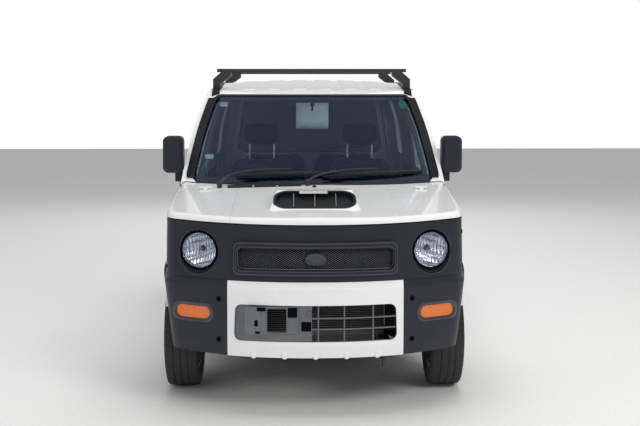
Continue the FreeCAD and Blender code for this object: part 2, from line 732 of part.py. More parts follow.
def tailgate_hinges():
    """Hinges at the tailgate's top edge: (leaves on the tailgate, leaves and pins on the rear frame)."""
    gate_side = []
    frame_side = []
    axis_s, axis_z = TAILGATE_HINGE_S, TAILGATE_HINGE_Z
    for x in (-TAILGATE_HINGE_X, TAILGATE_HINGE_X):
        for low, high, direction in ((-9.6, 9.6, -1), (-30.0, -10.0, 1), (10.0, 30.0, 1)):
            barrel = Part.makeCylinder(HINGE_RADIUS, high - low, V(x + low, axis_s, axis_z), V(1, 0, 0))
            if direction < 0:
                leaf = box(x + low, x + high, axis_s - 70.0, axis_s + 12.0, axis_z - 45.0, axis_z - 6.0)
                leaf = leaf.common(hull(-4.0)).cut(hull(8.0))
                web = box(x + low, x + high, axis_s - 5.0, axis_s + HINGE_RADIUS, axis_z - 14.0, axis_z)
                part = leaf.fuse([web, barrel])
                part = part.cut(Part.makeCylinder(HINGE_PIN + PIN_CLEARANCE, 200, V(x - 100, axis_s, axis_z), V(1, 0, 0)))
                gate_side.append(part)
            else:
                leaf = box(x + low, x + high, axis_s - 50.0, axis_s, axis_z + 5.0, axis_z + 60.0)
                leaf = leaf.common(hull(-4.0)).cut(hull(8.0))
                web = box(x + low, x + high, axis_s - HINGE_RADIUS - 6.0, axis_s + 3.0, axis_z, axis_z + 12.0)
                frame_side.append(leaf.fuse([web, barrel]))
        frame_side.append(Part.makeCylinder(HINGE_PIN, 58.0, V(x - 29.0, axis_s, axis_z), V(1, 0, 0)))
    return gate_side, frame_side


def lamp_prism(t):
    """One rear lamp's outline in the rear view, swept along the car."""
    points = [(REAR_LAMP_X - 36.0, 625.0, 16.0), (REAR_LAMP_X + 36.0, 625.0, 16.0),
              (REAR_LAMP_X + 33.0, 880.0, 16.0), (REAR_LAMP_X - 36.0, 880.0, 16.0)]
    return prism(inset(points, t), front(LENGTH - 90.0), V(0, 120, 0))


def make_rear_lamps():
    """Upright rear lamps in the corners."""
    lamp = hull(-8.0).cut(hull(30.0)).common(lamp_prism(JOIN_GAP))
    PARTS["rear_lamps"] = both(lamp)


def make_tailgate():
    """One-piece tailgate, hinged at the roof, with two plate holes."""
    skin = hull().cut(hull(DOOR_SKIN)).common(tailgate_prism())
    core = hull(DOOR_SKIN - 0.5).cut(hull(DOOR_THICKNESS)).common(tailgate_prism(-DOOR_INNER_INSET))
    gate = skin.fuse(core).cut(rear_window_prism()).common(tail_zone(-4.0)).removeSplitter()
    for x in (-PLATE_SPACING / 2, PLATE_SPACING / 2):
        gate = gate.cut(Part.makeCylinder(PLATE_HOLE, 300, V(x, LENGTH - 200.0, REAR_PLATE_Z), V(0, 1, 0)))
    for x in (-TAILGATE_HINGE_X, TAILGATE_HINGE_X):
        notch = Part.makeCylinder(HINGE_RADIUS + 2.0, 66.0, V(x - 33.0, TAILGATE_HINGE_S, TAILGATE_HINGE_Z), V(1, 0, 0))
        gate = gate.cut(notch)
    PARTS["tailgate"] = gate.fuse(tailgate_hinges()[0])
    glass = hull(9.0).cut(hull(9.0 + GLASS)).common(rear_window_prism(-SEAT_CLEARANCE))
    PARTS["tailgate_glass"] = glass.common(tail_zone(-4.0))


def make_fixed_glass():
    """Windscreen and quarter windows."""
    glass = screen(1.0).cut(screen(1.0 + SCREEN_THICKNESS)).common(
        screen_prism(4.0 - SEAT_CLEARANCE)).common(box(-800.0, 800.0, 700.0, 1700.0, 900.0, 1520.0))
    quarter = hull(9.0).cut(hull(9.0 + GLASS)).common(window_prism("quarter"))
    PARTS["fixed_glass"] = Part.makeCompound([glass, quarter, flipped(quarter)])


def make_mouldings():
    """Black strips on the windscreen pillars and along the roof channels."""
    layer = hull(-7.0).cut(hull(-JOIN_GAP))
    ring = screen_prism(36.0).cut(screen_prism(-10.0))
    pillar = layer.common(ring).common(box(380.0, 900.0, 700.0, 1700.0, 1016.0, SCREEN_TOP_Z - 16.0))
    pillar = pillar.cut(door_prism("front", PANEL_GAP + 2.0))
    channel = layer.common(box(ROOF_SEAM - 4.0, ROOF_SEAM + 40.0, HEADER_S + 90.0, ROOF_REAR - 40.0, 1440.0, 1600.0))
    solids = [pillar, channel]
    PARTS["mouldings"] = Part.makeCompound(solids + [flipped(m) for m in solids])


def arch_lip(axle):
    """Dark lip around the left arch, standing out to the car's full width."""
    band = wheel_cylinder(axle, ARCH_RADIUS + ARCH_BAND, 600.0, BODY_WIDTH / 2)
    band = band.cut(wheel_cylinder(axle, ARCH_RADIUS, 500.0))
    low = BODY_WIDTH / 2 - ARCH_TUCK
    taper = [(low, ARCH_LOW, 0.0), (BODY_WIDTH / 2, ARCH_LOW + 150.0, 0.0), (BODY_WIDTH / 2, 900.0, 0.0),
             (500.0, 900.0, 0.0), (500.0, ARCH_LOW, 0.0)]
    band = band.common(prism(taper, front(axle - 500.0), V(0, 1000, 0)))
    if axle == FRONT_AXLE:
        band = band.common(bumper_flank()).cut(box(0.0, 900.0, 0.0, axle, 0.0, BUMPER_BOTTOM + 16.0))
    return band.cut(section(-JOIN_GAP, 0.0, LENGTH + 50.0)).cut(front_body(-JOIN_GAP))


def make_front_wings():
    """Front wings from the dark front panel back to the doors."""
    skin = front_shape().cut(front_shape(SKIN))
    zone = box(380.0, 900.0, FASCIA_REAR + JOIN_GAP, DOOR_FRONT - PANEL_GAP, DOOR_BOTTOM - 20.0, 1300.0)
    wing = skin.common(zone).cut(above_split(-PANEL_GAP / 2, HINGE_GAP))
    wing = wing.cut(box(0.0, WAIST_HALF - 60.0, 0.0, 1300.0, 860.0, 1300.0))
    wing = wing.cut(wheel_cylinder(FRONT_AXLE, ARCH_RADIUS + 12.0))
    wing = wing.cut(screen_prism(4.0)).cut(bumper_space(JOIN_GAP))
    wing = wing.cut(box(0.0, 900.0, 0.0, FRONT_AXLE - 60.0, 0.0, BUMPER_BOTTOM + 70.0))
    wing = wing.fuse(hinge_halves(DOOR_FRONT - PANEL_GAP / 2)[1])
    PARTS["front_wings"] = both(wing)


def bonnet_hinges():
    """Hinges at the bonnet's rear edge: (leaves on the bonnet, leaves and pins on the cowl)."""
    bonnet_side = []
    cowl_side = []
    axis_s, axis_z = BONNET_HINGE_S, BONNET_HINGE_Z
    for x in (-BONNET_HINGE_X, BONNET_HINGE_X):
        surface = bonnet_height(axis_s, x)
        for low, high, direction in ((-9.6, 9.6, -1), (-30.0, -10.0, 1), (10.0, 30.0, 1)):
            s0, s1 = sorted((axis_s, axis_s + direction * 40.0))
            leaf = box(x + low, x + high, s0, s1, surface - 12.0, axis_z)
            leaf = leaf.common(front_body(-5.0))
            leaf = leaf.cut(box(x - 100.0, x + 100.0, BONNET_REAR, BONNET_REAR + HINGE_GAP, 900.0, surface))
            barrel = Part.makeCylinder(5.0, high - low, V(x + low, axis_s, axis_z), V(1, 0, 0))
            s0, s1 = sorted((axis_s, axis_s + direction * 12.0))
            web = box(x + low, x + high, s0, s1, surface + 0.5, axis_z)
            part = leaf.fuse([web, barrel])
            if direction < 0:
                part = part.cut(Part.makeCylinder(HINGE_PIN + PIN_CLEARANCE, 200, V(x - 100, axis_s, axis_z), V(1, 0, 0)))
                bonnet_side.append(part)
            else:
                cowl_side.append(part)
        cowl_side.append(Part.makeCylinder(HINGE_PIN, 58.0, V(x - 29.0, axis_s, axis_z), V(1, 0, 0)))
    return bonnet_side, cowl_side


def scoop_bulge():
    """Raised bulge on the bonnet whose slanted front face holds the scoop's grille."""
    base = [(-SCOOP_HALF, 0.0, 30.0), (SCOOP_HALF, 0.0, 30.0), (SCOOP_HALF - 50.0, SCOOP_LENGTH, 60.0),
            (50.0 - SCOOP_HALF, SCOOP_LENGTH, 60.0)]
    crest = [(16.0 - SCOOP_HALF, SCOOP_RAMP, 30.0), (SCOOP_HALF - 16.0, SCOOP_RAMP, 30.0),
             (SCOOP_HALF - 58.0, SCOOP_RAMP + 70.0, 30.0), (58.0 - SCOOP_HALF, SCOOP_RAMP + 70.0, 30.0)]
    low = outline(base, lambda u, v: V(u, SCOOP_FRONT + v, bonnet_height(SCOOP_FRONT + v) - 8.0))
    high = outline(crest, lambda u, v: V(u, SCOOP_FRONT + v, bonnet_height(SCOOP_FRONT + SCOOP_RAMP) + SCOOP_RISE))
    return Part.makeLoft([low, high], True, True)


def scoop_face(t, out, deep):
    """Slab in the scoop's slanted front face, inset by t, from out above it to deep below."""
    z0 = bonnet_height(SCOOP_FRONT) - 8.0
    z1 = bonnet_height(SCOOP_FRONT + SCOOP_RAMP) + SCOOP_RISE
    along = V(0, SCOOP_RAMP, z1 - z0)
    length = along.Length
    along.normalize()
    normal = V(0, -along.z, along.y)
    start = V(0, SCOOP_FRONT, z0) + normal * out
    points = [(-SCOOP_MOUTH_HALF, 30.0, 66.0), (SCOOP_MOUTH_HALF, 30.0, 66.0),
              (SCOOP_MOUTH_HALF - 8.0, length - 8.0, 70.0), (8.0 - SCOOP_MOUTH_HALF, length - 8.0, 70.0)]
    return prism(inset(points, t), lambda u, v: start + V(u, 0, 0) + along * v, normal * -(out + deep))


def make_bonnet():
    """Bonnet skin with its rolled front and sides, the scoop's bulge and the hinge leaves."""
    skin = front_shape().cut(front_shape(SKIN))
    skin = skin.common(box(-900.0, 900.0, -50.0, BONNET_REAR, 700.0, 1300.0)).common(above_split(PANEL_GAP / 2))
    bonnet = skin.fuse(scoop_bulge().cut(front_body(SKIN - 4.0))).cut(scoop_face(0.0, 30.0, SCOOP_DEPTH))
    PARTS["bonnet"] = bonnet.fuse(bonnet_hinges()[0])


def make_scoop():
    """Black scoop grille: a frame with upright vanes, sunk in the bulge's front face."""
    frame = scoop_face(SEAT_CLEARANCE, 3.0, SCOOP_DEPTH - 0.4).cut(scoop_face(13.0, 9.0, SCOOP_DEPTH - 8.0))
    for x in (-SCOOP_MOUTH_HALF / 2, 0.0, SCOOP_MOUTH_HALF / 2):
        vane = box(x - 2.5, x + 2.5, SCOOP_FRONT, SCOOP_FRONT + SCOOP_LENGTH, 800.0, 1200.0)
        frame = frame.fuse(vane.common(scoop_face(12.0, -6.0, SCOOP_DEPTH - 7.0)))
    PARTS["bonnet_scoop"] = frame


def make_cowl():
    """Cowl in front of the windscreen, and the firewall below it standing on the floor."""
    top = front_shape().cut(front_shape(SKIN))
    half = WAIST_HALF - 60.0 - JOIN_GAP
    top = top.common(box(-half, half, BONNET_REAR + HINGE_GAP, DOOR_FRONT, 860.0, 1300.0))
    top = top.cut(screen(-JOIN_GAP))
    for x0, x1 in ((-478.0, -370.0), (-362.0, -240.0), (-232.0, -90.0)):
        top = top.cut(box(x0, x1, COWL - 36.0, COWL - 22.0, 900.0, 1100.0))
    top = top.fuse(bonnet_hinges()[1])
    low = LINER_REAR
    step = DASH_PANEL
    foot = FLOOR_Z + FLOOR_PLATE + SEAT_CLEARANCE
    wall = [(low, foot, 0.0), (low, 650.0, 0.0), (step, 650.0, 0.0), (step, 935.0, 0.0),
            (step + 12.0, 935.0, 0.0), (step + 12.0, 662.0, 0.0), (low + 12.0, 662.0, 0.0), (low + 12.0, foot, 0.0)]
    firewall = prism(wall, side(x=-SILL_INNER + 0.3), V(2 * SILL_INNER - 0.6, 0, 0))
    PARTS["cowl"] = Part.makeCompound([top, firewall])


def bumper_shape(t=0.0):
    """Outer shape of the front bumper, narrower below and chamfered along its top and bottom."""
    half = BODY_WIDTH / 2
    levels = [(BUMPER_BOTTOM - 30.0, half - BUMPER_TUCK - 12.0, 12.0), (BUMPER_BOTTOM + 60.0, half - BUMPER_TUCK, 0.0),
              (BUMPER_TOP - 30.0, half, 0.0), (BUMPER_TOP, half - 16.0, 16.0)]
    return nose(levels, BUMPER_STRAIGHT, t)


def bumper_flank():
    """Limit of the front arch lips: the bumper's flank carried on upwards, and the full width behind."""
    half = BODY_WIDTH / 2
    levels = [(BUMPER_BOTTOM - 30.0, half - BUMPER_TUCK - 12.0, 12.0), (BUMPER_BOTTOM + 60.0, half - BUMPER_TUCK, 0.0),
              (BUMPER_TOP - 30.0, half, 0.0), (900.0, half, 0.0)]
    return nose(levels, BUMPER_STRAIGHT).fuse(box(0.0, half, FRONT_AXLE - 100.0, 1200.0, 200.0, 900.0))


def bumper_space(gap=0.0):
    """Space kept for the front bumper, ahead of the arch band."""
    zone = box(-900.0, 900.0, -50.0, FRONT_AXLE - 100.0, 100.0, BUMPER_TOP + gap)
    return zone.cut(wheel_cylinder(FRONT_AXLE, ARCH_RADIUS + ARCH_BAND))


def bumper_bottom_cut():
    """Everything under the bumper's lower edge, which rises towards the corners."""
    half = [(900.0, 0.0, 0.0), (900.0, BUMPER_BOTTOM + 20.0, 0.0), (380.0, BUMPER_BOTTOM + 6.0, 0.0),
            (0.0, BUMPER_BOTTOM - 4.0, 0.0)]
    return prism(mirrored(half[:3]), front(-100.0), V(0, 900, 0))


def intake_prism(t=0.0):
    """The lower intake's outline, swept back."""
    half = [(INTAKE_HALF, INTAKE_BOTTOM, 32.0), (INTAKE_HALF - 6.0, INTAKE_TOP, 32.0)]
    return prism(inset(mirrored(half), t), front(-60.0), V(0, 300, 0))


def indicator_prism(t=0.0):
    """Right-hand indicator's recess, swept back."""
    points = [(INDICATOR_X - 82.0, 436.0, 10.0), (INDICATOR_X + 82.0, 436.0, 10.0),
              (INDICATOR_X + 82.0, 496.0, 10.0), (INDICATOR_X - 82.0, 496.0, 10.0)]
    return prism(inset(points, t), front(-60.0), V(0, 400, 0))


def make_front_bumper():
    """Three-piece front bumper with the lower intake and the indicators."""
    deck = box(-900.0, 900.0, -50.0, 1500.0, 100.0, BUMPER_TOP - BUMPER_WALL)
    shell = bumper_shape().cut(bumper_shape(BUMPER_WALL).common(deck))
    shell = shell.cut(bumper_shape(BUMPER_DECK)).cut(bumper_bottom_cut())
    centre = shell.common(box(-CENTRE_HALF, CENTRE_HALF, -50.0, 300.0, 100.0, 700.0)).cut(intake_prism())
    for x in BUMP_X:
        bow = NOSE_RADIUS - math.sqrt(NOSE_RADIUS ** 2 - max(abs(x) - BUMP_FLAT, 0.0) ** 2)
        bump = Part.makeCone(18.0, 11.0, BUMP_LENGTH, V(x, bow + BUMP_LENGTH, BUMPER_BOTTOM + 14.0), V(0, -1, 0))
        centre = centre.fuse(bump)
    end = shell.common(box(CENTRE_HALF + JOIN_GAP, 900.0, -50.0, FRONT_AXLE - 120.0, 100.0, 700.0))
    end = end.cut(wheel_cylinder(FRONT_AXLE, ARCH_RADIUS + ARCH_BAND + JOIN_GAP))
    end = end.cut(indicator_prism())
    lamp = bumper_shape(5.0).cut(bumper_shape(BUMPER_WALL)).common(indicator_prism(JOIN_GAP)).common(
        box(380.0, 900.0, -50.0, 300.0, 380.0, 560.0))
    PARTS["indicators"] = both(lamp)
    return centre, end


def tail_shape(t=0.0):
    """Outer shape of the rear bumper."""
    half = BODY_WIDTH / 2
    wires = []
    for z, w, back in ((BUMPER_BOTTOM - 30.0, half - 12.0, LENGTH - 12.0), (BUMPER_BOTTOM + 60.0, half, LENGTH),
                       (REAR_BUMPER_TOP - 30.0, half, LENGTH), (REAR_BUMPER_TOP, half - 14.0, LENGTH - 14.0)):
        points = [(w, 2800.0, 0.0), (w, back - TAIL_BOW, 105.0), (0.0, back + TAIL_APEX, 6000.0)]
        wires.append(outline(inset(mirrored(points), t), plan(z)))
    return Part.makeLoft(wires, True, True)


def make_rear_bumper():
    """Three-piece rear bumper, its top deck reaching in to the body."""
    deck = box(-900.0, 900.0, 2000.0, LENGTH, 100.0, REAR_BUMPER_TOP - BUMPER_WALL)
    shell = tail_shape().cut(tail_shape(BUMPER_WALL).common(deck)).cut(hull(-JOIN_GAP))
    shell = shell.cut(box(-900.0, 900.0, 2000.0, LENGTH - 140.0, 560.0, 900.0))
    centre = shell.common(box(-CENTRE_HALF, CENTRE_HALF, 3100.0, LENGTH + 50.0, 100.0, 700.0))
    end = shell.common(box(CENTRE_HALF + JOIN_GAP, 900.0, REAR_AXLE + 60.0, LENGTH + 50.0, 100.0, 700.0))
    end = end.cut(wheel_cylinder(REAR_AXLE, ARCH_RADIUS + ARCH_BAND + JOIN_GAP))
    end = end.cut(box(-900.0, 900.0, 2800.0, REAR_AXLE + 250.0, 0.0, 900.0))
    return centre, end


def make_bumpers():
    """White centre pieces, and dark end pieces with the arch lips of the same plastic."""
    front_centre, front_end = make_front_bumper()
    rear_centre, rear_end = make_rear_bumper()
    PARTS["bumper_centres"] = Part.makeCompound([front_centre, rear_centre])
    ends = [front_end, rear_end]
    lips = [arch_lip(FRONT_AXLE), arch_lip(REAR_AXLE)]
    PARTS["bumper_ends"] = Part.makeCompound(ends + [flipped(e) for e in ends])
    PARTS["arch_lips"] = Part.makeCompound(lips + [flipped(e) for e in lips])


def grille_prism(half, half_height, r, s0, s1, z=None):
    """Rounded rectangle in the front view, swept between two stations."""
    z = GRILLE_Z if z is None else z
    points = [(-half, z - half_height, r), (half, z - half_height, r), (half, z + half_height, r), (-half, z + half_height, r)]
    return prism(points, front(s0), V(0, s1 - s0, 0))


def make_fascia():
    """Dark front panel with the grille frame and the lamps' round recesses."""
    shell = front_shape().cut(front_shape(FASCIA_WALL))
    zone = box(-900.0, 900.0, -50.0, FASCIA_REAR, BUMPER_TOP + JOIN_GAP, FASCIA_TOP + 60.0)
    zone = zone.cut(above_split(-PANEL_GAP / 2))
    panel = shell.common(zone).cut(bumper_space(JOIN_GAP))
    rim = grille_prism(GRILLE_HALF + 18.0, GRILLE_HALF_HEIGHT + 27.0, 34.0, -20.0, 95.0, GRILLE_Z + 4.0)
    rim = rim.common(front_body(-14.0)).cut(front_body(FASCIA_WALL))
    panel = panel.fuse(rim).cut(grille_prism(GRILLE_HALF, GRILLE_HALF_HEIGHT, 20.0, -50.0, 200.0))
    opening = Part.makeCylinder(LAMP_POT + JOIN_GAP, 2.0 * LAMP_DEPTH, lamp_point(-LAMP_DEPTH), V(0, 1, 0))
    dish = Part.makeCone(LAMP_POT + JOIN_GAP, LAMP_POT + JOIN_GAP + 100.0 * DISH_SLOPE, 100.0, lamp_point(0.0), V(0, -1, 0))
    opening = lamp_turned(opening.fuse(dish))
    PARTS["front_fascia"] = panel.cut(opening).cut(flipped(opening))


def lamp_point(depth):
    """Point on the left headlamp's axis, depth behind its front edge, before the lamp is turned."""
    return V(LAMP_X, LAMP_S + depth, LAMP_Z)


def lamp_turned(shape):
    """Turns a shape about the left headlamp's centre so that the lamp looks a little outwards."""
    return shape.rotated(lamp_point(0.0), V(0, 0, 1), LAMP_TURN)


def make_headlamps():
    """Round lamps: a pot with a hollow bowl for the reflector, and a domed lens in its front edge."""
    axis = V(0, 1, 0)
    pot = Part.makeCylinder(LAMP_POT, LAMP_DEPTH, lamp_point(-3.0), axis)
    bowl = Part.makeCylinder(LAMP_RADIUS + 1.0, 31.0, lamp_point(-3.0), axis)
    cup = Part.makeSphere(LAMP_RADIUS + 20.0, lamp_point(-30.0))
    cup = cup.common(Part.makeCylinder(LAMP_RADIUS - 3.0, LAMP_DEPTH, lamp_point(0.0), axis))
    housing = pot.cut(bowl.fuse(cup))
    ball = Part.makeSphere(400.0, lamp_point(392.0)).cut(Part.makeSphere(395.0, lamp_point(392.0)))
    lens = ball.common(Part.makeCylinder(LAMP_RADIUS + 0.5, 60, lamp_point(-20.0), axis))
    PARTS["headlamp_housings"] = both(lamp_turned(housing))
    PARTS["headlamp_lenses"] = both(lamp_turned(lens))


def mesh_cells():
    """Diamond cells of the upper grille's mesh, in staggered rows, swept back."""
    cells = []
    columns = int((GRILLE_HALF - MESH_EDGE) / MESH_X)
    rows = int((GRILLE_HALF_HEIGHT - MESH_EDGE) / MESH_Z)
    for i in range(-columns, columns + 1):
        for j in range(-rows, rows + 1):
            if (i + j) % 2:
                continue
            x = i * MESH_X
            z = GRILLE_Z + j * MESH_Z
            a = MESH_X * MESH_OPEN
            b = MESH_Z * MESH_OPEN
            cell = [(x - a, z, 0.0), (x, z - b, 0.0), (x + a, z, 0.0), (x, z + b, 0.0)]
            cells.append(prism(cell, front(-50.0), V(0, 250, 0)))
    return Part.makeCompound(cells)


def plate_bracket():
    """Flat number plate bracket on two upright ribs, standing on the bowed panel of the lower intake."""
    x0 = FRONT_PLATE_X - PLATE_SPACING / 2 - 16.0
    x1 = FRONT_PLATE_X + PLATE_SPACING / 2 + 16.0
    low = FRONT_PLATE_Z - 112.0
    high = FRONT_PLATE_Z + 12.0
    face = [(x0, low, 10.0), (x1, low, 10.0), (x1, high, 10.0), (x0, high, 10.0)]
    plate = prism(face, front(BRACKET_S), V(0, BRACKET_THICK, 0))
    for x in (FRONT_PLATE_X - PLATE_SPACING / 2, FRONT_PLATE_X + PLATE_SPACING / 2):
        plate = plate.cut(Part.makeCylinder(PLATE_HOLE, 20.0, V(x, 0.0, FRONT_PLATE_Z), V(0, 1, 0)))
    ribs = [box(x, x + 5.0, BRACKET_S, 90.0, low + 10.0, high - 32.0) for x in (x0 + 8.0, x0 + 70.0, x1 - 13.0)]
    back = [rib.cut(bumper_shape(14.0)) for rib in ribs]
    return plate.fuse(back)


def make_grilles():
    """Upper grille's diamond mesh with its bare oval disc, and the lower intake's lattice with the plate bracket."""
    plate = front_body(16.0).cut(front_body(20.0)).common(
        grille_prism(GRILLE_HALF - 0.4, GRILLE_HALF_HEIGHT - 0.4, 19.6, -50.0, 200.0))
    plate = plate.cut(mesh_cells())
    disc = prism([(-48.0, GRILLE_Z - 28.5, 26.0), (48.0, GRILLE_Z - 28.5, 26.0), (48.0, GRILLE_Z + 28.5, 26.0),
                  (-48.0, GRILLE_Z + 28.5, 26.0)], front(GRILLE_FRONT), V(0, 60, 0)).cut(front_body(15.6))
    lattice = bumper_shape(9.0).cut(bumper_shape(19.0)).common(intake_prism(0.4))
    lattice = lattice.common(box(-900.0, 900.0, -50.0, 300.0, 200.0, 600.0))
    rows = list(zip((INTAKE_BOTTOM,) + SLAT_Z, SLAT_Z + (INTAKE_TOP,)))
    columns = list(zip((-20.0,) + SLAT_X, SLAT_X + (INTAKE_HALF,)))
    for z0, z1 in rows:
        for x0, x1 in columns:
            half = SLAT_THICK / 2
            lattice = lattice.cut(box(x0 + half, x1 - half, -20.0, 200.0, z0 + half, z1 - half))
    for x in (FRONT_PLATE_X - PLATE_SPACING / 2, FRONT_PLATE_X + PLATE_SPACING / 2):
        lattice = lattice.cut(Part.makeCylinder(2.0 * PLATE_HOLE, 300, V(x, -50.0, FRONT_PLATE_Z), V(0, 1, 0)))
    lattice = lattice.fuse(plate_bracket())
    window = [(-222.0, 393.0, 8.0), (-131.0, 393.0, 8.0), (-131.0, 505.0, 8.0), (-222.0, 505.0, 8.0)]
    lattice = lattice.cut(prism(window, front(-20.0), V(0, 200, 0)))
    PARTS["upper_grille"] = Part.makeCompound([plate, disc])
    PARTS["lower_grille"] = lattice


def make_roof_rack():
    """Two load bars on feet that stand on the roof channels."""
    pieces = []
    for s in (RACK_FRONT, RACK_REAR):
        beam = box(-RACK_HALF, RACK_HALF, s - 15.0, s + 15.0, RACK_Z, RACK_Z + RACK_THICK)
        for sign in (-1, 1):
            wedge = [(582.0, 1480.0, 0.0), (582.0, 1548.0, 12.0), (522.0, 1600.0, 10.0), (477.0, 1600.0, 6.0),
                     (477.0, 1566.0, 10.0), (538.0, 1520.0, 0.0), (538.0, 1480.0, 0.0)]
            foot = prism([(sign * u, v, r) for u, v, r in wedge], front(s - 40.0), V(0, 80, 0))
            beam = beam.fuse(foot.cut(hull(-7.0 - SEAT_CLEARANCE)))
        pieces.append(beam)
    PARTS["roof_rack"] = Part.makeCompound(pieces)


def screen_point(x, z, out=0.0):
    """Point over the windscreen's surface at (x, z), raised out along its normal."""
    drop = SCREEN_RADIUS - math.sqrt(SCREEN_RADIUS ** 2 - x ** 2)
    s = screen_line(z) + drop / math.sin(SCREEN_RAKE)
    return V(x, s - out * math.sin(SCREEN_RAKE), z + out * math.cos(SCREEN_RAKE))


def make_wipers():
    """Two wiper arms that rise from the cowl, their blades low over the windscreen."""
    pieces = []
    for x0 in WIPER_X:
        foot = V(x0, COWL - 18.0, bonnet_height(COWL - 18.0, x0) + 1.3)
        post = Part.makeCylinder(9.0, 22.0, foot, V(0, 0, 1))
        knee = screen_point(x0 + 40.0, 1020.0, 32.0)
        tip = screen_point(x0 + 310.0, 1036.0, 24.0)
        arm = bar([foot + V(0, 0, 17), knee, tip], 5.0)
        blade = bar([screen_point(x0 + 60.0 + 125.0 * i, 1032.0, 6.2) for i in range(5)], 5.0)
        link = rod(tip, screen_point(x0 + 310.0, 1032.0, 6.2), 5.0)
        pieces.append(fused([post, arm, blade, link]))
    PARTS["wipers"] = Part.makeCompound(pieces)


def steering_frame(shape):
    """Turns and moves a shape drawn about +Z onto the steering column's axis."""
    shape.rotate(V(0, 0, 0), V(1, 0, 0), -STEERING_TILT)
    shape.translate(V(STEERING_X, STEERING_S, STEERING_Z))
    return shape


def ring(radius, tube, sides=6):
    """Rim of a wheel about +Z with a flat-sided section."""
    points = [(radius + tube * math.cos((i + 0.5) * 2 * math.pi / sides), tube * math.sin((i + 0.5) * 2 * math.pi / sides), 0.0)
              for i in range(sides)]
    face = Part.Face(outline(points, lambda u, v: V(u, 0, v)))
    return face.revolve(V(0, 0, 0), V(0, 0, 1), 360)


def make_seat(x):
    """A front seat: frame on the floor, cushion, leaning back and headrest as one padded solid."""
    base = box(x - 190.0, x + 190.0, 1560.0, 1940.0, FLOOR_Z + FLOOR_PLATE + SEAT_CLEARANCE, 390.0)
    cushion = prism([(1495.0, 372.0, 30.0), (1500.0, 520.0, 55.0), (1960.0, 490.0, 40.0), (1960.0, 372.0, 20.0)],
                    side(x=x - 240.0), V(480, 0, 0))
    back = prism([(1900.0, 440.0, 50.0), (2050.0, 440.0, 50.0), (2175.0, 1075.0, 50.0), (2060.0, 1085.0, 50.0)],
                 side(x=x - 235.0), V(470, 0, 0))
    head = prism([(2085.0, 1125.0, 30.0), (2178.0, 1115.0, 30.0), (2196.0, 1275.0, 35.0), (2112.0, 1280.0, 35.0)],
                 side(x=x - 125.0), V(250, 0, 0))
    posts = [box(x + a, x + a + 12.0, 2118.0, 2130.0, 1050.0, 1150.0) for a in (-61.0, 49.0)]
    return fused([base, cushion, back, head] + posts)


def make_cabin():
    """Dashboard with the steering column, seats and steering wheel."""
    dash = prism([(DASH_PANEL + 12.3, 700.0, 0.0), (DASH_PANEL + 12.3, 955.0, 20.0), (1085.0, 985.0, 30.0),
                  (1215.0, 930.0, 40.0), (1190.0, 730.0, 40.0)], side(x=-590.0), V(1180, 0, 0))
    dash = dash.common(section(70.0, 700.0, 1400.0)).common(screen(70.0))
    column = steering_frame(Part.makeCylinder(32.0, 200.0, V(0, 0, -250.0)))
    bore = steering_frame(Part.makeCylinder(COLUMN_PIN + PIN_CLEARANCE, 200.0, V(0, 0, -150.0)))
    PARTS["dashboard"] = dash.fuse(column).cut(bore)
    PARTS["front_seats"] = both(make_seat(-STEERING_X))
    floor = FLOOR_Z + FLOOR_PLATE + SEAT_CLEARANCE
    stand = box(-470.0, 470.0, 2330.0, 2590.0, floor, 440.0)
    bench = prism([(2290.0, 426.0, 30.0), (2295.0, 555.0, 55.0), (2760.0, 530.0, 40.0), (2760.0, 426.0, 0.0)],
                  side(x=-500.0), V(1000, 0, 0))
    back = prism([(2660.0, 470.0, 40.0), (2770.0, 470.0, 20.0), (2870.0, 1060.0, 45.0), (2775.0, 1070.0, 45.0)],
                 side(x=-500.0), V(1000, 0, 0))
    PARTS["rear_seat"] = fused([stand, bench, back])
    wheel = [ring(STEERING_RADIUS - 14.0, 14.0), Part.makeCylinder(48.0, 42.0, V(0, 0, -36.0)),
             Part.makeCylinder(COLUMN_PIN, 60.0, V(0, 0, -90.0)),
             box(-165.0, 165.0, -17.0, 17.0, -9.0, 5.0), box(-15.0, 15.0, -165.0, 0.0, -9.0, 5.0)]
    PARTS["steering_wheel"] = steering_frame(fused(wheel))


def make_floor():
    """Stepped floor, and the housings over the wheels."""
    top = FLOOR_PLATE
    step = 2620.0
    rear_end = TAIL - REAR_FRAME_DEPTH - JOIN_GAP
    plate = [(LINER_REAR, FLOOR_Z, 0.0), (step, FLOOR_Z, 0.0), (step, REAR_FLOOR_Z, 0.0), (rear_end, REAR_FLOOR_Z, 0.0),
             (rear_end, REAR_FLOOR_Z + top, 0.0), (step - top, REAR_FLOOR_Z + top, 0.0),
             (step - top, FLOOR_Z + top, 0.0), (LINER_REAR, FLOOR_Z + top, 0.0)]
    half = HOUSE_INNER - JOIN_GAP
    floor = prism(plate, side(x=-half), V(2 * half, 0, 0))
    edge = SILL_INNER - SEAT_CLEARANCE
    PARTS["floor_pan"] = floor.fuse(box(-edge, edge, LINER_REAR, step, FLOOR_Z, FLOOR_Z + top))
    houses = []
    for axle, x0, x1 in ((FRONT_AXLE, LINER_INNER, 664.0), (REAR_AXLE, HOUSE_INNER, 664.0)):
        shell = wheel_cylinder(axle, LINER_RADIUS, x0, x1).cut(
            wheel_cylinder(axle, LINER_RADIUS - 6.0, x0 + 6.0, x1 + 10.0))
        if axle == FRONT_AXLE:
            shell = shell.common(front_shape(SKIN + 1.0)).cut(box(300.0, 900.0, 0.0, 2000.0, 0.0, TYRE_RADIUS))
        else:
            shell = shell.common(box(0.0, 900.0, step + JOIN_GAP, 3400.0, REAR_FLOOR_Z - 60.0, 900.0))
        houses.append(shell)
    PARTS["wheel_housings"] = Part.makeCompound(houses + [flipped(h) for h in houses])


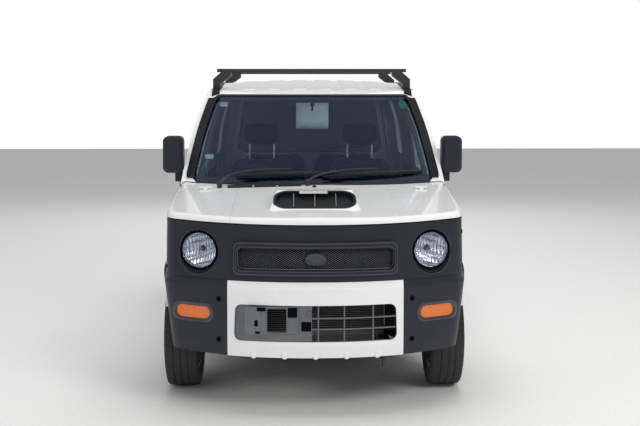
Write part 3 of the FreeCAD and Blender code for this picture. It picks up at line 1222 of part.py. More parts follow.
def kingpin(z):
    """Point of the left steering axis at a height; it leans inwards going up."""
    return V(KINGPIN_X - (z - BALL_Z) * math.tan(KINGPIN_LEAN), FRONT_AXLE, z)


def make_engine():
    """Engine with its gearbox as one block, and the radiator ahead of it."""
    block = box(-320.0, 320.0, 330.0, 800.0, RAIL_Z1 + SEAT_CLEARANCE, 780.0)
    block = block.cut(box(-900.0, 900.0, 700.0, 900.0, 0.0, 640.0)).cut(box(-900.0, 900.0, 0.0, 400.0, 700.0, 900.0))
    radiator = box(-330.0, 330.0, 285.0, 330.0 - SEAT_CLEARANCE, RAIL_Z1 + SEAT_CLEARANCE, 690.0)
    PARTS["engine_block"] = Part.makeCompound([block, radiator])


def make_suspension():
    """Front rails, cross-member, lower arms and struts; rear beam with arms, springs and dampers."""
    member = box(-RAIL_X1, RAIL_X1, FRONT_AXLE - 50.0, FRONT_AXLE + 70.0, BALL_Z + 8.0, RAIL_Z1 - 10.0)
    eye = box(TOW_X - 4.0, TOW_X + 4.0, 58.0, 112.0, 214.0, RAIL_Z0 + 4.0)
    eye = eye.makeFillet(24.0, [e for e in eye.Edges if e.BoundBox.XLength > 7.0 and e.BoundBox.ZMax < 220.0])
    eye = eye.cut(Part.makeCylinder(TOW_HOLE, 40.0, V(TOW_X - 20.0, 85.0, 238.0), V(1, 0, 0)))
    frame = [member, eye]
    for sign in (-1, 1):
        x0, x1 = sorted((sign * RAIL_X0, sign * RAIL_X1))
        rail = box(x0, x1, -50.0, LINER_REAR - SEAT_CLEARANCE, RAIL_Z0, RAIL_Z1)
        frame.append(rail.common(bumper_shape(BUMPER_WALL + SEAT_CLEARANCE)))
        arm = [(RAIL_X1 - 10.0, FRONT_AXLE - 60.0, 8.0), (RAIL_X1 - 10.0, FRONT_AXLE + 80.0, 8.0),
               (KINGPIN_X + 16.0, FRONT_AXLE + 16.0, 15.0), (KINGPIN_X + 16.0, FRONT_AXLE - 16.0, 15.0)]
        frame.append(prism([(sign * u, v, r) for u, v, r in arm], plan(BALL_Z - 8.0), V(0, 0, 18.0)))
        axis = kingpin(BALL_Z + 100.0) - kingpin(BALL_Z)
        pin = Part.makeCylinder(BALL_PIN, 30.0, kingpin(BALL_Z + 4.0), axis)
        frame.append(pin if sign > 0 else flipped(pin))
    struts = []
    axis = kingpin(500.0) - kingpin(400.0)
    strut = Part.makeCylinder(STRUT_RADIUS, 215.0, kingpin(STRUT_Z), axis)
    spring = Part.makeCylinder(46.0, 70.0, kingpin(545.0), axis)
    strut = strut.fuse(spring).common(wheel_cylinder(FRONT_AXLE, LINER_RADIUS - 6.0 - SEAT_CLEARANCE, 300.0))
    struts = [strut, flipped(strut)]
    beam = rod(V(-500, REAR_AXLE + 30, 300), V(500, REAR_AXLE + 30, 300), 34.0)
    pieces = [beam]
    top = REAR_FLOOR_Z - SEAT_CLEARANCE
    for sign in (-1, 1):
        pieces.append(rod(V(sign * 470, REAR_AXLE + 30, 300), V(sign * 470, REAR_AXLE - 300, 250), 24.0))
        pieces.append(rod(V(sign * 440, REAR_AXLE, TYRE_RADIUS), V(sign * 598, REAR_AXLE, TYRE_RADIUS), 38.0))
        pieces.append(rod(V(sign * 590, REAR_AXLE, TYRE_RADIUS), V(sign * 706, REAR_AXLE, TYRE_RADIUS), HUB_RADIUS))
        pieces.append(Part.makeCylinder(20.0, top - 260.0, V(sign * 440, REAR_AXLE + 60, 260)))
        pieces.append(Part.makeCylinder(45.0, top - 310.0, V(sign * 360, REAR_AXLE + 20, 310)))
    PARTS["suspension"] = Part.makeCompound([fused(frame)] + struts + [fused(pieces)])


def make_underbody():
    """Fuel tank, exhaust pipe and silencer under the floor."""
    tank = box(-420.0, 200.0, 2120.0, 2560.0, 165.0, FLOOR_Z - SEAT_CLEARANCE)
    tank = tank.makeChamfer(14.0, [e for e in tank.Edges if e.BoundBox.ZMax < 166.0])
    pipe_z = FLOOR_Z - PIPE_RADIUS - SEAT_CLEARANCE
    pipe = rod(V(290, 975, pipe_z), V(290, 2590, pipe_z), PIPE_RADIUS)
    top = REAR_FLOOR_Z - SEAT_CLEARANCE
    drum = box(-250.0, 250.0, 3090.0, 3230.0, top - 120.0, top)
    drum = drum.makeFillet(40.0, [e for e in drum.Edges if e.BoundBox.XLength > 300.0])
    tail = rod(V(200, 3200, 330), V(200, LENGTH - 20.0, 203), 19.0)
    PARTS["underbody"] = Part.makeCompound([tank, pipe, drum.fuse(tail)])


def revolved(points):
    """Solid turned about the wheel's axle, X, from (across, radius, corner radius) points."""
    return Part.Face(outline(points, lambda u, v: V(u, 0, v))).revolve(V(0, 0, 0), V(1, 0, 0), 360)


def make_wheel():
    """Tyre and rim of the wheel on the left side, centred on the axle at the origin."""
    w = TYRE_WIDTH / 2
    bead = RIM_RADIUS + 1.0
    foot = RIM_HALF - 5.0
    tyre = revolved([(-foot, bead, 0.0), (-foot, RIM_RADIUS + 9.0, 0.0), (-w, RIM_RADIUS + 42.0, 0.0),
                     (9.0 - w, TYRE_RADIUS, 0.0), (w - 9.0, TYRE_RADIUS, 0.0), (w, RIM_RADIUS + 42.0, 0.0),
                     (foot, RIM_RADIUS + 9.0, 0.0), (foot, bead, 0.0)])
    barrel = revolved([(-RIM_HALF, RIM_RADIUS + 8.0, 0.0), (-RIM_HALF + 4.0, RIM_RADIUS + 8.0, 0.0),
                       (-RIM_HALF + 4.5, RIM_RADIUS, 0.0), (RIM_HALF - 4.5, RIM_RADIUS, 0.0),
                       (RIM_HALF - 4.0, RIM_RADIUS + 8.0, 0.0), (RIM_HALF, RIM_RADIUS + 8.0, 0.0),
                       (RIM_HALF, RIM_RADIUS - 8.0, 0.0), (-RIM_HALF, RIM_RADIUS - 8.0, 0.0)])
    disc = revolved([(HUB_FACE, 0.0, 0.0), (HUB_FACE, 62.0, 0.0), (HUB_FACE - 7.0, RIM_RADIUS - 6.0, 0.0),
                     (HUB_FACE + 10.0, RIM_RADIUS - 6.0, 0.0), (HUB_FACE + 20.0, 90.0, 0.0), (HUB_FACE + 17.0, 0.0, 0.0)])
    for i in range(SPOKES):
        a = 2 * math.pi * (i + 0.5) / SPOKES
        gap = [(math.cos(a + d) * r, math.sin(a + d) * r, 0.0)
               for r, d in ((72, -0.2), (150, -0.36), (158, 0.0), (150, 0.36), (72, 0.2))]
        disc = disc.cut(prism(gap, lambda u, v: V(0, u, v), V(120, 0, 0)))
    brake = Part.makeCylinder(112.0, 12.0, V(0, 0, 0), V(1, 0, 0)).fuse(
        Part.makeCylinder(66.0, HUB_FACE, V(4, 0, 0), V(1, 0, 0)))
    bore = Part.makeCylinder(HUB_RADIUS + PIN_CLEARANCE, 200, V(-60, 0, 0), V(1, 0, 0))
    return tyre, fused([barrel, disc, brake]).cut(bore)


def make_knuckle():
    """Left hub carrier: spindle, boss on the ball joint, clamp on the strut, caliper and steering arm."""
    axis = V(1, 0, 0)
    pin_axis = kingpin(500.0) - kingpin(400.0)
    carrier = Part.makeCylinder(42.0, 48.0, V(KINGPIN_X - 24, FRONT_AXLE, TYRE_RADIUS), axis)
    spindle = Part.makeCylinder(HUB_RADIUS, 94.0, V(KINGPIN_X + 22, FRONT_AXLE, TYRE_RADIUS), axis)
    boss = Part.makeCylinder(20.0, 42.0, kingpin(BALL_Z + 15.5), pin_axis)
    upright = Part.makeCylinder(17.0, 150.0, kingpin(BALL_Z + 45.0), pin_axis)
    clamp = Part.makeCylinder(STRUT_RADIUS + 6.0, 40.0, kingpin(STRUT_Z - 20.0), pin_axis)
    arm = box(KINGPIN_X - 40, KINGPIN_X - 22, FRONT_AXLE, FRONT_AXLE + STEER_ARM, 262.0, 284.0)
    caliper = Part.makeCylinder(134.0, 29.0, V(KINGPIN_X + 24, FRONT_AXLE, TYRE_RADIUS), axis).common(
        box(0.0, 900.0, FRONT_AXLE + 60.0, FRONT_AXLE + 200.0, TYRE_RADIUS - 56.0, TYRE_RADIUS + 56.0))
    bridge = box(KINGPIN_X - 6, KINGPIN_X + 30, FRONT_AXLE, FRONT_AXLE + 90.0, TYRE_RADIUS - 16, TYRE_RADIUS + 16)
    knuckle = fused([carrier, spindle, boss, upright, clamp, arm, caliper, bridge])
    knuckle = knuckle.cut(Part.makeCylinder(BALL_PIN + PIN_CLEARANCE, 34.0, kingpin(BALL_Z + 1.0), pin_axis))
    return knuckle.cut(Part.makeCylinder(STRUT_RADIUS + PIN_CLEARANCE, 300.0, kingpin(STRUT_Z - 0.4), pin_axis))


def make_wheels():
    """Four wheels and the two front hub carriers."""
    tyre, rim = make_wheel()
    for end, s in (("front", FRONT_AXLE), ("rear", REAR_AXLE)):
        at = V(WHEEL_X, s, TYRE_RADIUS)
        PARTS["tyre_" + end + "_left"] = tyre.translated(at)
        PARTS["rim_" + end + "_left"] = rim.translated(at)
        PARTS["tyre_" + end + "_right"] = flipped(tyre.translated(at))
        PARTS["rim_" + end + "_right"] = flipped(rim.translated(at))
    PARTS["knuckle_left"] = make_knuckle()
    PARTS["knuckle_right"] = flipped(PARTS["knuckle_left"])


def build():
    """Makes every part and writes it."""
    for step in (make_side_frames, make_doors, make_mirrors, make_roof, make_rear_panel, make_rear_lamps,
                 make_tailgate, make_fixed_glass, make_mouldings, make_front_wings, make_bonnet, make_scoop,
                 make_cowl, make_bumpers, make_fascia, make_headlamps, make_grilles, make_roof_rack, make_wipers,
                 make_cabin, make_floor, make_engine, make_suspension,
                 make_underbody, make_wheels):
        step()
    os.makedirs("parts", exist_ok=True)
    for name, shape in PARTS.items():
        solids = shape.Solids
        placed = solids[0] if len(solids) == 1 else Part.makeCompound(solids)
        placed = placed.translated(V(0, -LENGTH / 2, 0))
        placed.exportStep("parts/" + name + ".step")
        print(name, len(solids), placed.isValid(), round(placed.Volume / 1e6, 2))


build()
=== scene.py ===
"""Looks of the five-door kei car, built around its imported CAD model. Lengths are in metres."""

import math

import bmesh
import bpy
import numpy as np
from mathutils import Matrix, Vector


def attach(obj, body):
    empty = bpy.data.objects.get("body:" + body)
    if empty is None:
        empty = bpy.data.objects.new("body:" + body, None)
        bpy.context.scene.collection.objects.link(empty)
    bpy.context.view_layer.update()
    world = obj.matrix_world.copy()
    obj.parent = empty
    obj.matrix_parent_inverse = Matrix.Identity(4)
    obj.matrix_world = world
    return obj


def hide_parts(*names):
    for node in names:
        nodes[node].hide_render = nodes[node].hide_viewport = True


LENGTH = 3.395
FRONT_AXLE = 0.620
REAR_AXLE = 2.980
AXLE_HEIGHT = 0.2685
WHEEL_X = 0.650
RIM_RADIUS = 0.1778
HUB_FACE = 0.055
ARCH_RADIUS = 0.428
NUT_CIRCLE = 0.050
TREAD_HALF = 0.0715

NOSE_RADIUS = 1.150
NOSE_START = 0.0194
NOSE_TURN = math.radians(31.15)
FASCIA_SETBACK = 0.020
FASCIA_LEAN = 0.07
BUMPER_TOP = 0.620
BONNET_NOSE_Z = 0.905
BONNET_SLOPE = 0.104
BONNET_CROWN = 0.018 / 0.7
SCOOP_FOOT = (0.212, 0.91905)
SCOOP_RISE = (0.9082, 0.4185)
SCOOP_VANES = (-0.101, 0.0, 0.101)
GRILLE_Z = 0.722
GRILLE_HALF = 0.3575
GRILLE_RISE = 0.0475
MESH_PITCH = 0.0155
MESH_SLOPE = 12.0 / 7.0

LAMP_X = 0.540
LAMP_S = 0.166
LAMP_Z = 0.747
LAMP_TURN = math.radians(14.0)
DISH_RADIUS = 0.0905

SCREEN_S = 0.838
SCREEN_Z = 0.990
SCREEN_RAKE = math.radians(40.35)
SCREEN_RADIUS = 2.300
SCREEN_CORNERS = ((0.655, 0.992, 0.045), (0.612, 1.264, 1.200), (0.556, 1.456, 0.060))
WIPER_X = (-0.490, -0.030)

STEERING_CENTRE = (-0.312, 1.330, 0.905)
STEERING_TILT = math.radians(62.0)
STEERING_RADIUS = 0.1825
SEAT_X = 0.312

DOOR_FRONT = 1.040
B_PILLAR = 1.985
C_PILLAR = 2.745
DOOR_INNER = 0.0615
WINDOW_LOW = 1.005
WINDOW_HIGH = 1.420
WINDOW_LEAN = 0.92
TAIL_WAIST = 3.339
TAIL_WAIST_Z = 0.960
TAIL_LEAN = 0.1545
SIDE_RUBBER = ((0.007, 0.0002), (0.007, 0.0014), (-0.0015, 0.0016), (-0.004, -0.0005), (-0.004, -0.0085),
               (0.0, -0.0085))
REAR_RUBBER = ((0.009, 0.0002), (0.009, 0.0016), (-0.002, 0.0018), (-0.005, -0.0005), (-0.005, -0.0080),
               (0.0, -0.0080))
SIDES = (("left", 1.0), ("right", -1.0))
AXLES = (("front", FRONT_AXLE), ("rear", REAR_AXLE))
WHEELS = [(end, side, sign, s) for side, sign in SIDES for end, s in AXLES]

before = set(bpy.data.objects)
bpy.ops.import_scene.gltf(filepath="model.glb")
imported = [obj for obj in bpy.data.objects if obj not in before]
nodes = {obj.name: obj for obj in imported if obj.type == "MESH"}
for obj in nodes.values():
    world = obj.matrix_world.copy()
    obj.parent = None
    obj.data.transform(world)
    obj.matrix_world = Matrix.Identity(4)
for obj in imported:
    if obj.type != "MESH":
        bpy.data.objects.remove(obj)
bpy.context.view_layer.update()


def along(s):
    """Y of a station s metres behind the front bumper."""
    return s - LENGTH / 2


def placed(x, s, z):
    """Points from across, station and height arrays of one shape."""
    x, s, z = np.broadcast_arrays(np.asarray(x, float), s, z)
    return np.stack([x, along(s), z], -1)


def circle(count):
    """Angles of so many even steps round a circle."""
    return np.arange(count) * 2 * np.pi / count


def tilted(points, angle):
    """Points turned about X by an angle."""
    c, s = math.cos(angle), math.sin(angle)
    x, y, z = np.moveaxis(np.asarray(points, float), -1, 0)
    return np.stack([x, c * y - s * z, s * y + c * z], -1)


def oval(count, half_width, half_height, width_power, height_power):
    """Outline (u, v) of an ellipse whose cosine and sine are raised to powers under 1, which squares it."""
    c, s = np.cos(circle(count)), np.sin(circle(count))
    return np.stack([half_width * np.sign(c) * np.abs(c) ** width_power,
                     half_height * np.sign(s) * np.abs(s) ** height_power], 1)


def rectangle(u0, u1, v0, v1, radius, high_radius=None):
    """Corners (u, v, radius) of an upright rectangle, the upper two with a radius of their own if given."""
    high = radius if high_radius is None else high_radius
    return [(u0, v0, radius), (u1, v0, radius), (u1, v1, high), (u0, v1, high)]


def corners_of(mesh):
    """A mesh's corners as an array (corners, 3)."""
    points = np.empty(len(mesh.vertices) * 3)
    mesh.vertices.foreach_get("co", points)
    return points.reshape(-1, 3)


def make_mesh(name, points, faces, body, material, smooth=True):
    """A piece from an array of corners and lists of faces, riding on a body."""
    mesh = bpy.data.meshes.new(name)
    mesh.from_pydata(np.asarray(points, float).tolist(), [], faces)
    mesh.validate()
    if smooth:
        mesh.shade_smooth()
    piece = bpy.data.objects.new(name, mesh)
    bpy.context.collection.objects.link(piece)
    mesh.materials.append(material)
    if body:
        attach(piece, body)
    return piece


def grid_faces(rows, columns, wrap_rows=False, wrap_columns=False, start=0):
    """Quads over a grid of rows by columns corners, closed round where asked."""
    r = np.arange(rows if wrap_rows else rows - 1)
    c = np.arange(columns if wrap_columns else columns - 1)
    r, c = np.meshgrid(r, c, indexing="ij")
    r2, c2 = (r + 1) % rows, (c + 1) % columns
    quads = np.stack([r * columns + c, r * columns + c2, r2 * columns + c2, r2 * columns + c], -1)
    return quads.reshape(-1, 4) + start


def grid_part(points, wrap_rows=False, wrap_columns=False, caps=False):
    """A part from a grid of corners shaped (rows, columns, 3); caps close the first and last rows."""
    rows, columns = points.shape[:2]
    faces = grid_faces(rows, columns, wrap_rows, wrap_columns).tolist()
    if caps:
        faces.append(list(range(columns))[::-1])
        faces.append(list(range((rows - 1) * columns, rows * columns)))
    return points.reshape(-1, 3), faces


def joined(name, parts, body, material, smooth=True, sharp=None):
    """One piece from several parts: their corners end to end, doubled ones merged, faces turned outwards."""
    corners, faces, start = [], [], 0
    for points, part_faces in parts:
        corners.append(points)
        faces.extend([i + start for i in face] for face in part_faces)
        start += len(points)
    piece = make_mesh(name, np.concatenate(corners), faces, body, material, smooth)
    work = bmesh.new()
    work.from_mesh(piece.data)
    bmesh.ops.remove_doubles(work, verts=work.verts, dist=2e-6)
    bmesh.ops.recalc_face_normals(work, faces=work.faces)
    work.to_mesh(piece.data)
    work.free()
    if sharp is not None:
        piece.data.set_sharp_from_angle(angle=math.radians(sharp))
    return piece


def tubes(paths, radius, sides=8, flat=1.0, up=(0, 0, 1), closed=False):
    """Round bars about several paths shaped (bars, points, 3), as one part.

    At each point a circle of the radius stands across the path's tangent, pressed by flat along up."""
    paths = np.asarray(paths, float)
    bars, count = paths.shape[:2]
    if closed:
        tangent = np.roll(paths, -1, 1) - np.roll(paths, 1, 1)
    else:
        tangent = np.gradient(paths, axis=1)
    tangent /= np.linalg.norm(tangent, axis=-1, keepdims=True)
    across = np.cross(tangent, np.asarray(up, float))
    across /= np.linalg.norm(across, axis=-1, keepdims=True)
    normal = np.cross(across, tangent)
    a = circle(sides)
    ring = across[..., None, :] * np.cos(a)[:, None] + normal[..., None, :] * (flat * np.sin(a))[:, None]
    radius = np.broadcast_to(np.asarray(radius, float), (count,))
    points = paths[..., None, :] + ring * radius[None, :, None, None]
    faces = []
    for bar in range(bars):
        start = bar * count * sides
        faces += grid_faces(count, sides, closed, True, start).tolist()
        if not closed:
            faces.append(list(range(start, start + sides))[::-1])
            faces.append(list(range(start + (count - 1) * sides, start + count * sides)))
    return points.reshape(-1, 3), faces


def tube(path, radius, sides=10, flat=1.0, up=(0, 0, 1), closed=False):
    """One round bar about a path."""
    return tubes(np.asarray(path, float)[None], radius, sides, flat, up, closed)


def turned(profile, place, axis=(1, 0, 0), steps=32, closed=True):
    """Surface of revolution: (along, radius) profile points turned through a full circle about an axis."""
    profile = np.asarray(profile, float)
    axis = np.asarray(axis, float) / np.linalg.norm(axis)
    side = np.cross(axis, (0, 0, 1) if abs(axis[2]) < 0.9 else (0, 1, 0))
    side /= np.linalg.norm(side)
    other = np.cross(axis, side)
    a = circle(steps)
    ring = np.cos(a)[:, None] * side + np.sin(a)[:, None] * other
    points = profile[:, 0, None, None] * axis + profile[:, 1, None, None] * ring
    return grid_part(points + np.asarray(place, float), wrap_rows=closed, wrap_columns=True)


def slab(front, back):
    """Closed part between two grids of the same shape (rows, columns, 3)."""
    return grid_part(np.concatenate([front, back[:, ::-1]], 1), wrap_columns=True, caps=True)


def smooth_path(points, times=3):
    """Path whose corners are cut at a quarter and three quarters of each leg, several times over."""
    points = np.asarray(points, float)
    for _ in range(times):
        legs = np.stack([0.75 * points[:-1] + 0.25 * points[1:], 0.25 * points[:-1] + 0.75 * points[1:]], 1)
        points = np.concatenate([points[:1], legs.reshape(-1, 3), points[-1:]])
    return points


def rounded_outline(corners, arc=8, line=16):
    """Closed outline (u, v) through corners (u, v, radius): an arc at each, joined by straight lines."""
    corners = np.asarray(corners, float)
    p, r = corners[:, :2], np.maximum(corners[:, 2], 0.0005)
    a = np.roll(p, 1, 0) - p
    b = np.roll(p, -1, 0) - p
    a /= np.linalg.norm(a, axis=1, keepdims=True)
    b /= np.linalg.norm(b, axis=1, keepdims=True)
    half = 0.5 * np.arccos(np.clip((a * b).sum(1), -1, 1))
    middle = (a + b) / np.linalg.norm(a + b, axis=1, keepdims=True)
    centre = p + middle * (r / np.sin(half))[:, None]
    start = p + a * (r / np.tan(half))[:, None]
    end = p + b * (r / np.tan(half))[:, None]
    t = np.linspace(0, 1, arc)[None, :, None]
    turn = (np.pi - 2 * half)[:, None, None]
    w0, w1 = np.sin((1 - t) * turn) / np.sin(turn), np.sin(t * turn) / np.sin(turn)
    arcs = centre[:, None] + w0 * (start - centre)[:, None] + w1 * (end - centre)[:, None]
    t = np.linspace(0, 1, line + 2)[None, 1:-1, None]
    lines = end[:, None] * (1 - t) + np.roll(start, -1, 0)[:, None] * t
    return np.concatenate([arcs, lines], 1).reshape(-1, 2)


def loops_part(loops, surface):
    """Closed band through outlines of equal length: each (outline, out) is laid on a surface at a height."""
    rows = [surface(outline[:, 0], outline[:, 1], out) for outline, out in loops]
    return grid_part(np.stack(rows), wrap_rows=True, wrap_columns=True)


def plate_part(corners, surface, low, high, edge=0.001, arc=6, line=8):
    """Thin plate with rounded corners on a surface, its rim eased by edge and its faces closed."""
    corners = np.asarray(corners, float)
    middle = corners[:, :2].mean(0)
    outline = rounded_outline(corners, arc, line)
    size = np.abs(outline - middle).max()
    rows = []
    for share, out in ((0.0, high), (0.5, high), (1 - edge / size, high), (1.0, high - edge), (1.0, low),
                       (0.5, low), (0.0, low)):
        rows.append(surface(*(middle + (outline - middle) * share).T, out))
    return grid_part(np.stack(rows), wrap_columns=True)


def nose_station(x, setback, inset=0.0):
    """Station of the bowed nose: flat in the middle, then a circle's arc, then straight to the corner."""
    u = np.maximum(np.abs(x) - NOSE_START, 0)
    r = NOSE_RADIUS - inset
    end = r * math.sin(NOSE_TURN)
    arc = NOSE_RADIUS - np.sqrt(r ** 2 - np.minimum(u, end) ** 2)
    return setback + arc + np.maximum(u - end, 0) * math.tan(NOSE_TURN)


def fascia_surface(x, z, out):
    """Points over the dark front panel, out metres in front of it."""
    setback = FASCIA_SETBACK + FASCIA_LEAN * (np.asarray(z) - BUMPER_TOP)
    return placed(x, nose_station(x, setback, -out), z)


def bumper_surface(x, z, out):
    """Points over the front bumper's upright face, out metres in front of it."""
    return placed(x, nose_station(x, 0.0, -out), z)


def screen_surface(x, z, out):
    """Points over the windscreen, a raked cylinder about a line up the car, raised out along its normal."""
    x, z = np.asarray(x, float), np.asarray(z, float)
    drop = SCREEN_RADIUS - np.sqrt(SCREEN_RADIUS ** 2 - x ** 2)
    s = SCREEN_S + (z - SCREEN_Z) / math.tan(SCREEN_RAKE) + drop / math.sin(SCREEN_RAKE)
    return placed(x, s - out * math.sin(SCREEN_RAKE), z + out * math.cos(SCREEN_RAKE))


def screen_half(z):
    """Half width of the windscreen's opening at a height, by straight lines between its corners."""
    x, height, _ = zip(*SCREEN_CORNERS)
    return np.interp(z, height, x)


def bonnet_z(x, s):
    """Height of the bonnet's and cowl's surface, which rises backwards and falls from the middle."""
    return BONNET_NOSE_Z + BONNET_SLOPE * s - BONNET_CROWN * np.abs(x)


def side_x(z):
    """Half width of the body side at a height: straight legs, blended by a parabola at the window line."""
    z = np.asarray(z, float)
    low = np.interp(z, (0.190, 0.500, 0.985, 1.264), (0.676, 0.722, 0.712, 0.676))
    high = 0.676 - 0.3256 * (z - 1.264)
    t = np.clip((z - 1.208) / 0.112, 0, 1)
    blend = 0.676 - 0.129 * (z - 1.264) - 0.1966 * 0.056 * t ** 2
    return np.where(z < 1.208, low, np.where(z > 1.320, high, blend))


def side_surface(sign):
    """Surface of one body side over (station, height)."""
    return lambda s, z, out: placed(sign * (side_x(z) + out), s, z)


def tail_surface(x, z, out):
    """Points over the tailgate's upright faces, which lean forwards above the waist."""
    z = np.asarray(z, float)
    s = np.where(z > TAIL_WAIST_Z, TAIL_WAIST - TAIL_LEAN * (z - TAIL_WAIST_Z),
                 TAIL_WAIST + 0.0222 * (TAIL_WAIST_Z - z))
    return placed(x, s + out, z)


def nodes_of(name):
    """A new material's node tree and its shader."""
    material = bpy.data.materials.new(name)
    material.use_nodes = True
    tree = material.node_tree
    return material, tree, tree.nodes["Principled BSDF"]


def node(tree, kind, inputs=None, **settings):
    """A node of a kind with its settings, and input values or links by socket name."""
    made = tree.nodes.new(kind)
    for key, value in settings.items():
        setattr(made, key, value)
    for key, value in (inputs or {}).items():
        if isinstance(value, bpy.types.NodeSocket):
            tree.links.new(value, made.inputs[key])
        else:
            made.inputs[key].default_value = value
    return made


def place_in(tree):
    """The point being shaded, in the object's own coordinates."""
    return node(tree, "ShaderNodeTexCoord").outputs["Object"]


def part_of_place(tree, axis):
    """One coordinate of the point being shaded."""
    return node(tree, "ShaderNodeSeparateXYZ", {"Vector": place_in(tree)}).outputs[axis]


def noise(tree, scale, detail):
    """Cloudy noise from 0 to 1."""
    inputs = {"Vector": place_in(tree), "Scale": scale, "Detail": detail}
    return node(tree, "ShaderNodeTexNoise", inputs).outputs["Fac"]


def maths(tree, operation, first, second=0.5):
    """One step of arithmetic on values or sockets."""
    return node(tree, "ShaderNodeMath", {0: first, 1: second}, operation=operation).outputs[0]


def raise_surface(tree, height, strength, distance):
    """Bumps the shader's normal by a height, on top of any bump that it already has."""
    normal = tree.nodes["Principled BSDF"].inputs["Normal"]
    inputs = {"Height": height, "Strength": strength, "Distance": distance}
    if normal.is_linked:
        inputs["Normal"] = normal.links[0].from_socket
    tree.links.new(node(tree, "ShaderNodeBump", inputs).outputs["Normal"], normal)


def set_values(shader, **values):
    """Sets a shader's inputs, whose names are given with underscores for spaces."""
    for key, value in values.items():
        shader.inputs[key.replace("_", " ")].default_value = value


def ramp(tree, value, stops, interpolation="LINEAR"):
    """A colour ramp over a value; stops are (position, colour)."""
    made = node(tree, "ShaderNodeValToRGB", {"Fac": value})
    made.color_ramp.interpolation = interpolation
    elements = made.color_ramp.elements
    while len(elements) < len(stops):
        elements.new(0.5)
    for element, (position, colour) in zip(elements, stops):
        element.position = position
        element.color = (*colour, 1.0)
    return made.outputs["Color"]


def surface_material(name, colour, roughness, vary=0.06, grain=900.0, bump=0.05, depth=0.0002,
                     metallic=0.0, coat=0.0, dirt=0.0, dirt_colour=(0.2, 0.18, 0.15), sheen=0.0, shine=0.5):
    """Moulded or painted surface: mottled colour, uneven roughness, dirt below and a fine grain bump."""
    material, tree, shader = nodes_of(name)
    broad = noise(tree, 5.0, 5.0)
    low = tuple(c * (1 - vary) for c in colour)
    high = tuple(min(1.0, c * (1 + vary)) for c in colour)
    base = ramp(tree, broad, ((0.3, low), (0.7, high)))
    if dirt:
        lowness = node(tree, "ShaderNodeMapRange", {"Value": part_of_place(tree, "Z"), "From Min": 0.75,
                                                    "From Max": 0.15})
        spots = maths(tree, "MULTIPLY", lowness.outputs[0], noise(tree, 14.0, 8.0))
        mixed = node(tree, "ShaderNodeMix", data_type="RGBA")
        tree.links.new(maths(tree, "MULTIPLY", spots, dirt), mixed.inputs["Factor"])
        tree.links.new(base, mixed.inputs["A"])
        mixed.inputs["B"].default_value = (*dirt_colour, 1.0)
        base = mixed.outputs["Result"]
    tree.links.new(base, shader.inputs["Base Color"])
    spread = node(tree, "ShaderNodeMapRange", {"Value": broad, "To Min": roughness * 0.85,
                                               "To Max": min(1.0, roughness * 1.18)})
    tree.links.new(spread.outputs[0], shader.inputs["Roughness"])
    set_values(shader, Metallic=metallic, Specular_IOR_Level=shine, Coat_Weight=coat, Coat_Roughness=0.04,
               Sheen_Weight=sheen)
    raise_surface(tree, noise(tree, grain, 3.0), bump, depth)
    return material


def glass_material(name, colour, ripple=0.0, shine=0.5, shine_tint=(1.0, 1.0, 1.0)):
    """Clear or tinted glass with a faint waviness; shine sets how strongly it mirrors its surroundings."""
    material, tree, shader = nodes_of(name)
    wave = noise(tree, 3.0, 2.0)
    low = tuple(c * 0.97 for c in colour)
    tree.links.new(ramp(tree, wave, ((0.35, low), (0.65, colour))), shader.inputs["Base Color"])
    set_values(shader, Roughness=0.0, Transmission_Weight=1.0, Specular_IOR_Level=shine,
               Specular_Tint=(*shine_tint, 1.0), IOR=1.45)
    raise_surface(tree, wave, 0.02 + ripple, 0.001)
    return material


def woven_material(name, colour, second, scale):
    """Plain-woven cloth: two crossing bands of threads darken each other and lift the surface."""
    material, tree, shader = nodes_of(name)
    threads = [node(tree, "ShaderNodeTexWave", {"Vector": place_in(tree), "Scale": scale, "Distortion": 0.6,
                                                "Detail": 2.0}, bands_direction=axis).outputs["Fac"]
               for axis in ("X", "Z")]
    cross = maths(tree, "MULTIPLY", *threads)
    blend = maths(tree, "ADD", cross, noise(tree, 60.0, 6.0))
    tree.links.new(ramp(tree, blend, ((0.3, colour), (1.1, second))), shader.inputs["Base Color"])
    set_values(shader, Roughness=0.9, Sheen_Weight=0.3)
    raise_surface(tree, cross, 0.5, 0.0006)
    return material


def add_creases(material, where, width, depth):
    """Soft steps along the car: the surface drops by depth outwards of where |x| passes a value."""
    tree = material.node_tree
    size = maths(tree, "ABSOLUTE", part_of_place(tree, "X"))
    span = {"Value": size, "From Min": where - width, "From Max": where + width, "To Min": 1.0, "To Max": 0.0}
    step = node(tree, "ShaderNodeMapRange", span, interpolation_type="SMOOTHSTEP")
    raise_surface(tree, step.outputs[0], 1.0, depth)


def add_ribs(material, axis, pitch, depth):
    """Fine parallel ribs across a lens: a sine of the place along an axis lifts the surface."""
    tree = material.node_tree
    angle = maths(tree, "MULTIPLY", part_of_place(tree, axis), 2 * math.pi / pitch)
    raise_surface(tree, maths(tree, "SINE", angle), 1.0, depth)


def banded_lens(name, bands):
    """Lamp lens in stacked colours: bands are (height above which the colour holds, colour)."""
    material = surface_material(name, (0.4, 0.01, 0.01), 0.12, vary=0.05, grain=90.0, bump=0.05, coat=0.8)
    tree = material.node_tree
    colour = ramp(tree, part_of_place(tree, "Z"), bands, "CONSTANT")
    tree.links.new(colour, tree.nodes["Principled BSDF"].inputs["Base Color"])
    return material


